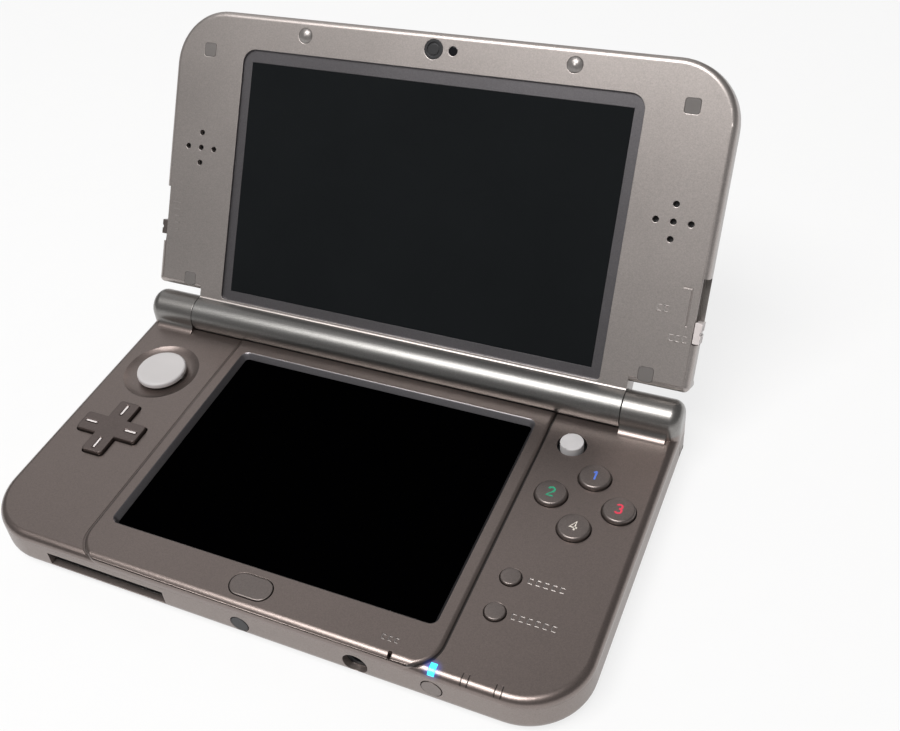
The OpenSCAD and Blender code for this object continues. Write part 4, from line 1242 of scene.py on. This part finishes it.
@dataclass
class Controls(Assembly):
    """Keys, pads and the stylus."""

    pad_share: float = 0.955
    pad_shift: float = 0.15

    def small_pad(self, point: Vector) -> Vector:
        """Draws a point of the circle pad's cap in a little, in millimetres."""
        middle = Vector((self.pad_shift - WING_X, PAD_Y + self.pad_shift, point.z))
        return middle + (point - Vector((-WING_X, PAD_Y, point.z))) * self.pad_share

    def build(self) -> None:
        """Makes the controls."""
        self.bench.skins((
            ("thumb_pad", "circle_pad", PALE, 0.05, self.small_pad),
            ("thumb_carriage", "pad_carriage", PALE, 0.05),
            ("cross_key", "cross_pad", CROSS, 0.4),
            ("cross_ball", "cross_pivot", CONTACT, 0.05),
            *((f"face_{name}", f"button_{name}", KEYS, 0.05) for name in ("upper", "left", "right", "lower")),
            ("small_key_back", "start_key", KEYS, 0.08),
            ("small_key_front", "select_key", KEYS, 0.08),
            ("home_bar", "home_key", KEYS, 0.25),
            ("power_disc", "power_button", KEYS, 0.15),
            ("nub_top", "nub_cap", PALE_NUB, 0.04)))
        self.bench.dress("nub_stem", STEEL)
        self.bench.skins((
            *((f"{kind}_key_{side}", f"{kind}_{side}", KEYS, 0.2)
              for side in ("left", "right") for kind in ("shoulder", "trigger")),
            ("stylus_pen", "stylus", BLACK, 0.15),
            ("volume_slider", "volume_knob", KEYS, 0.12),
            ("depth_slider", "depth_knob", PALE_KNOB, 0.14)))


@dataclass
class Lid(Assembly):
    """Shells, display and small pieces of the lid."""

    shell_edge: float = 0.1

    def build(self) -> None:
        """Makes the lid."""
        self.bench.skins((
            ("lid_face", "lid_inner", LID_FACE, self.shell_edge),
            ("lid_back", "lid_outer", LID_BACK, self.shell_edge),
            ("upper_pane", "upper_window", UPPER_SCREEN, 0.04),
            ("domes", "rubber_domes", SILVER_DOME, 0.03),
            ("screw_pads", "screw_covers", PAD_RUBBER, 0.06),
            ("camera_ring", "inner_camera", BLACK, 0.05),
            ("small_lens", "infrared_lamp", LENS, 0.05),
            ("rear_cameras", "outer_cameras", LENS, 0.06)))
        for node, finish in (("upper_display", BLACK), ("display_flex", FILM), ("speaker_left", BLACK),
                             ("speaker_right", BLACK), ("lid_screws", SCREW), ("hinge_key", STEEL),
                             ("hinge_bush", BLACK)):
            self.bench.dress(node, finish)


@dataclass
class Markings(Assembly):
    """Coloured numerals on the round buttons, inlays of the cross key and raised marks on the shells."""

    numeral_high: float = 2.7
    numeral_line: float = 0.5
    numeral_thick: float = 0.06
    numeral_sink: float = 0.005
    inlay_long: float = 3.5
    inlay_wide: float = 0.6
    inlay_out: float = 6.5
    inlay_levels: Spot = (-0.16, -0.05)
    mark_high: float = 0.1
    mark_line: float = 0.4
    mark_share: float = 0.72
    mark_pitch: float = 1.06
    lid_mark: Spot = (1.3, 1.9)
    lid_pitch: float = 1.7
    wedge_count: int = 5
    wedge_place: Spot = (-75.4, 24.0)
    wedge_step: Spot = (-0.4, 2.0)
    wedge_long: Spot = (0.9, 0.5)
    wedge_line: float = 0.34
    wedge_sink: float = 0.05

    def numeral_paths(self, numeral: int) -> List[List[Spot]]:
        """Gives the strokes of a numeral round its own centre.

        Args:
            numeral: 1, 2, 3 or 4.

        Returns:
            The points of each stroke in millimetres.
        """
        paths = {
            1: [[(-0.2, 0.3), (0.06, 0.5)], [(0.06, 0.5), (0.06, -0.5)]],
            2: [arc(0.0, 0.22, 0.28, 170, -35) + [(-0.3, -0.5), (0.32, -0.5)]],
            3: [arc(0.0, 0.25, 0.25, 155, -90), arc(0.0, -0.23, 0.28, 90, -155)],
            4: [[(0.14, -0.5), (0.14, 0.5), (-0.33, -0.2), (0.36, -0.2)]],
        }
        high = self.numeral_high
        return [[(x * high, y * high) for x, y in path] for path in paths[numeral]]

    def numerals(self) -> None:
        """Draws a numeral on each button."""
        keys = ((1, Body.UPPER, BLUE_INK, 90), (2, Body.LEFT, GREEN_INK, 180),
                (3, Body.RIGHT, RED_INK, 0), (4, Body.LOWER, CREAM_INK, 270))
        for numeral, body, ink, turn in keys:
            x = WING_X + GROUP_RING * math.cos(math.radians(turn))
            y = GROUP_Y + GROUP_RING * math.sin(math.radians(turn))
            place = at(x, y, CONTROL_Z - self.numeral_sink)
            self.bench.strokes(f"numeral_{numeral}", self.numeral_paths(numeral), self.numeral_line,
                               self.numeral_thick, body.value, ink, place)

    def inlays(self) -> None:
        """Lays a pale line in each arm of the cross key."""
        shape = bmesh.new()
        for turn in range(0, 360, 90):
            place = at(-WING_X, CROSS_Y, CROSS_Z, turn=turn) @ Matrix.Translation((self.inlay_out, 0.0, 0.0))
            add(shape, prism(rectangle(self.inlay_long, self.inlay_wide), *self.inlay_levels, place))
        self.bench.piece("cross_inlays", shape, Body.CROSS.value, PALE_INK)

    def stroke_unit(self, wide: float, high: float) -> bmesh.types.BMesh:
        """Makes one raised mark: an upright ridge between two short level ones.

        Args:
            wide: width of the level ridges.
            high: height of the mark.

        Returns:
            The mark's mesh in millimetres.
        """
        line = self.mark_line
        shape = bmesh.new()
        for x, y, w, d in ((line / 2 - wide / 2, 0.0, line, high), (0.0, (high - line) / 2, wide, line),
                           (0.0, (line - high) / 2, wide, line)):
            add(shape, ridge(w, d, self.mark_high, Matrix.Translation((x, y, 0.0))))
        return shape

    def raised_marks(self) -> None:
        """Sets rows of small raised marks beside the keys, sliders and slots, in lighter lacquers that paint
        their glint.
        """
        for name, x, y, z, count, high in (("start", 59.9, -16.2, WING_Z, 5, 1.75),
                                           ("select", 59.6, -26.6, WING_Z, 6, 1.75),
                                           ("voice", 34.9, -41.8, BASE_H, 3, 1.5)):
            unit = self.stroke_unit(self.mark_share * high, high)
            self.bench.array(f"marks_{name}", unit, Body.BASE.value, MARK_GLINT, at(x, y, z), count,
                             (self.mark_pitch * high, 0.0, 0.0))
        for name, x, y, count in (("depth_high", 69.3, 27.5, 2), ("depth_low", 73.3, 20.6, 3)):
            self.bench.array(f"marks_{name}", self.stroke_unit(*self.lid_mark), Body.LID.value, LID_MARK_GLINT,
                             at(x, y, FACE_N, Space.LID), count, (self.lid_pitch, 0.0, 0.0))
        # wedge of lines that grow beside the volume knob
        shape = bmesh.new()
        for row in range(self.wedge_count):
            long = self.wedge_long[0] + self.wedge_long[1] * row
            x = self.wedge_place[0] + long / 2 + self.wedge_step[0] * row
            y = self.wedge_place[1] + self.wedge_step[1] * row
            place = at(x, y, FACE_N, Space.LID)
            add(shape, prism(rectangle(long, self.wedge_line), -self.wedge_sink, self.mark_high, place))
        self.bench.piece("marks_volume", shape, Body.LID.value, LID_MARK_GLINT)

    def build(self) -> None:
        """Makes the markings."""
        self.numerals()
        self.inlays()
        self.raised_marks()


@dataclass
class Fittings(Assembly):
    """Small inner fittings that show through the openings."""

    pin_count: int = 17
    pin_step: float = 1.9
    pin_size: Point = (0.7, 5.0, 0.35)
    pin_place: Point = (-55.2, -15.2, 2.79)
    strip_count: int = 6
    strip_step: float = 0.8
    strip_size: Point = (0.45, 3.2, 0.08)
    strip_place: Point = (-2.0, 41.6, 5.34)
    cloth_count: int = 23
    cloth_step: float = 0.51
    cloth_thread: Point = (0.34, 0.34, 0.07)
    speaker_place: Spot = (69.0, 48.95)
    cloth_reach: float = 5.6
    cloth_level: float = -0.28

    def build(self) -> None:
        """Makes the fittings."""
        # contact springs at the back of the card cage, and strips on the tongue of the charge socket
        for name, size, place, count, step in (
                ("card_contacts", self.pin_size, self.pin_place, self.pin_count, self.pin_step),
                ("charge_contacts", self.strip_size, self.strip_place, self.strip_count, self.strip_step)):
            self.bench.array(name, block(*size), Body.BASE.value, GOLD, at(*place), count, (step, 0.0, 0.0))
        # woven cloth behind the speaker holes
        x, y = self.speaker_place
        for name, side in (("left", -1), ("right", 1)):
            place = at(side * x - self.cloth_reach, y - self.cloth_reach, self.cloth_level, Space.LID)
            self.bench.array(f"speaker_cloth_{name}", block(*self.cloth_thread), Body.LID.value, BLACK, place,
                             self.cloth_count, (self.cloth_step, 0.0, 0.0),
                             self.cloth_count, (0.0, self.cloth_step, 0.0))


def main() -> None:
    """Builds the studio and the object."""
    bench = Bench(Paintbox())
    Studio().build()
    for assembly in (LowerHalf, Controls, Lid, Markings, Fittings):
        assembly(bench).build()
        log.info("built %s", assembly.__name__)


if __name__ == "__main__":
    main()
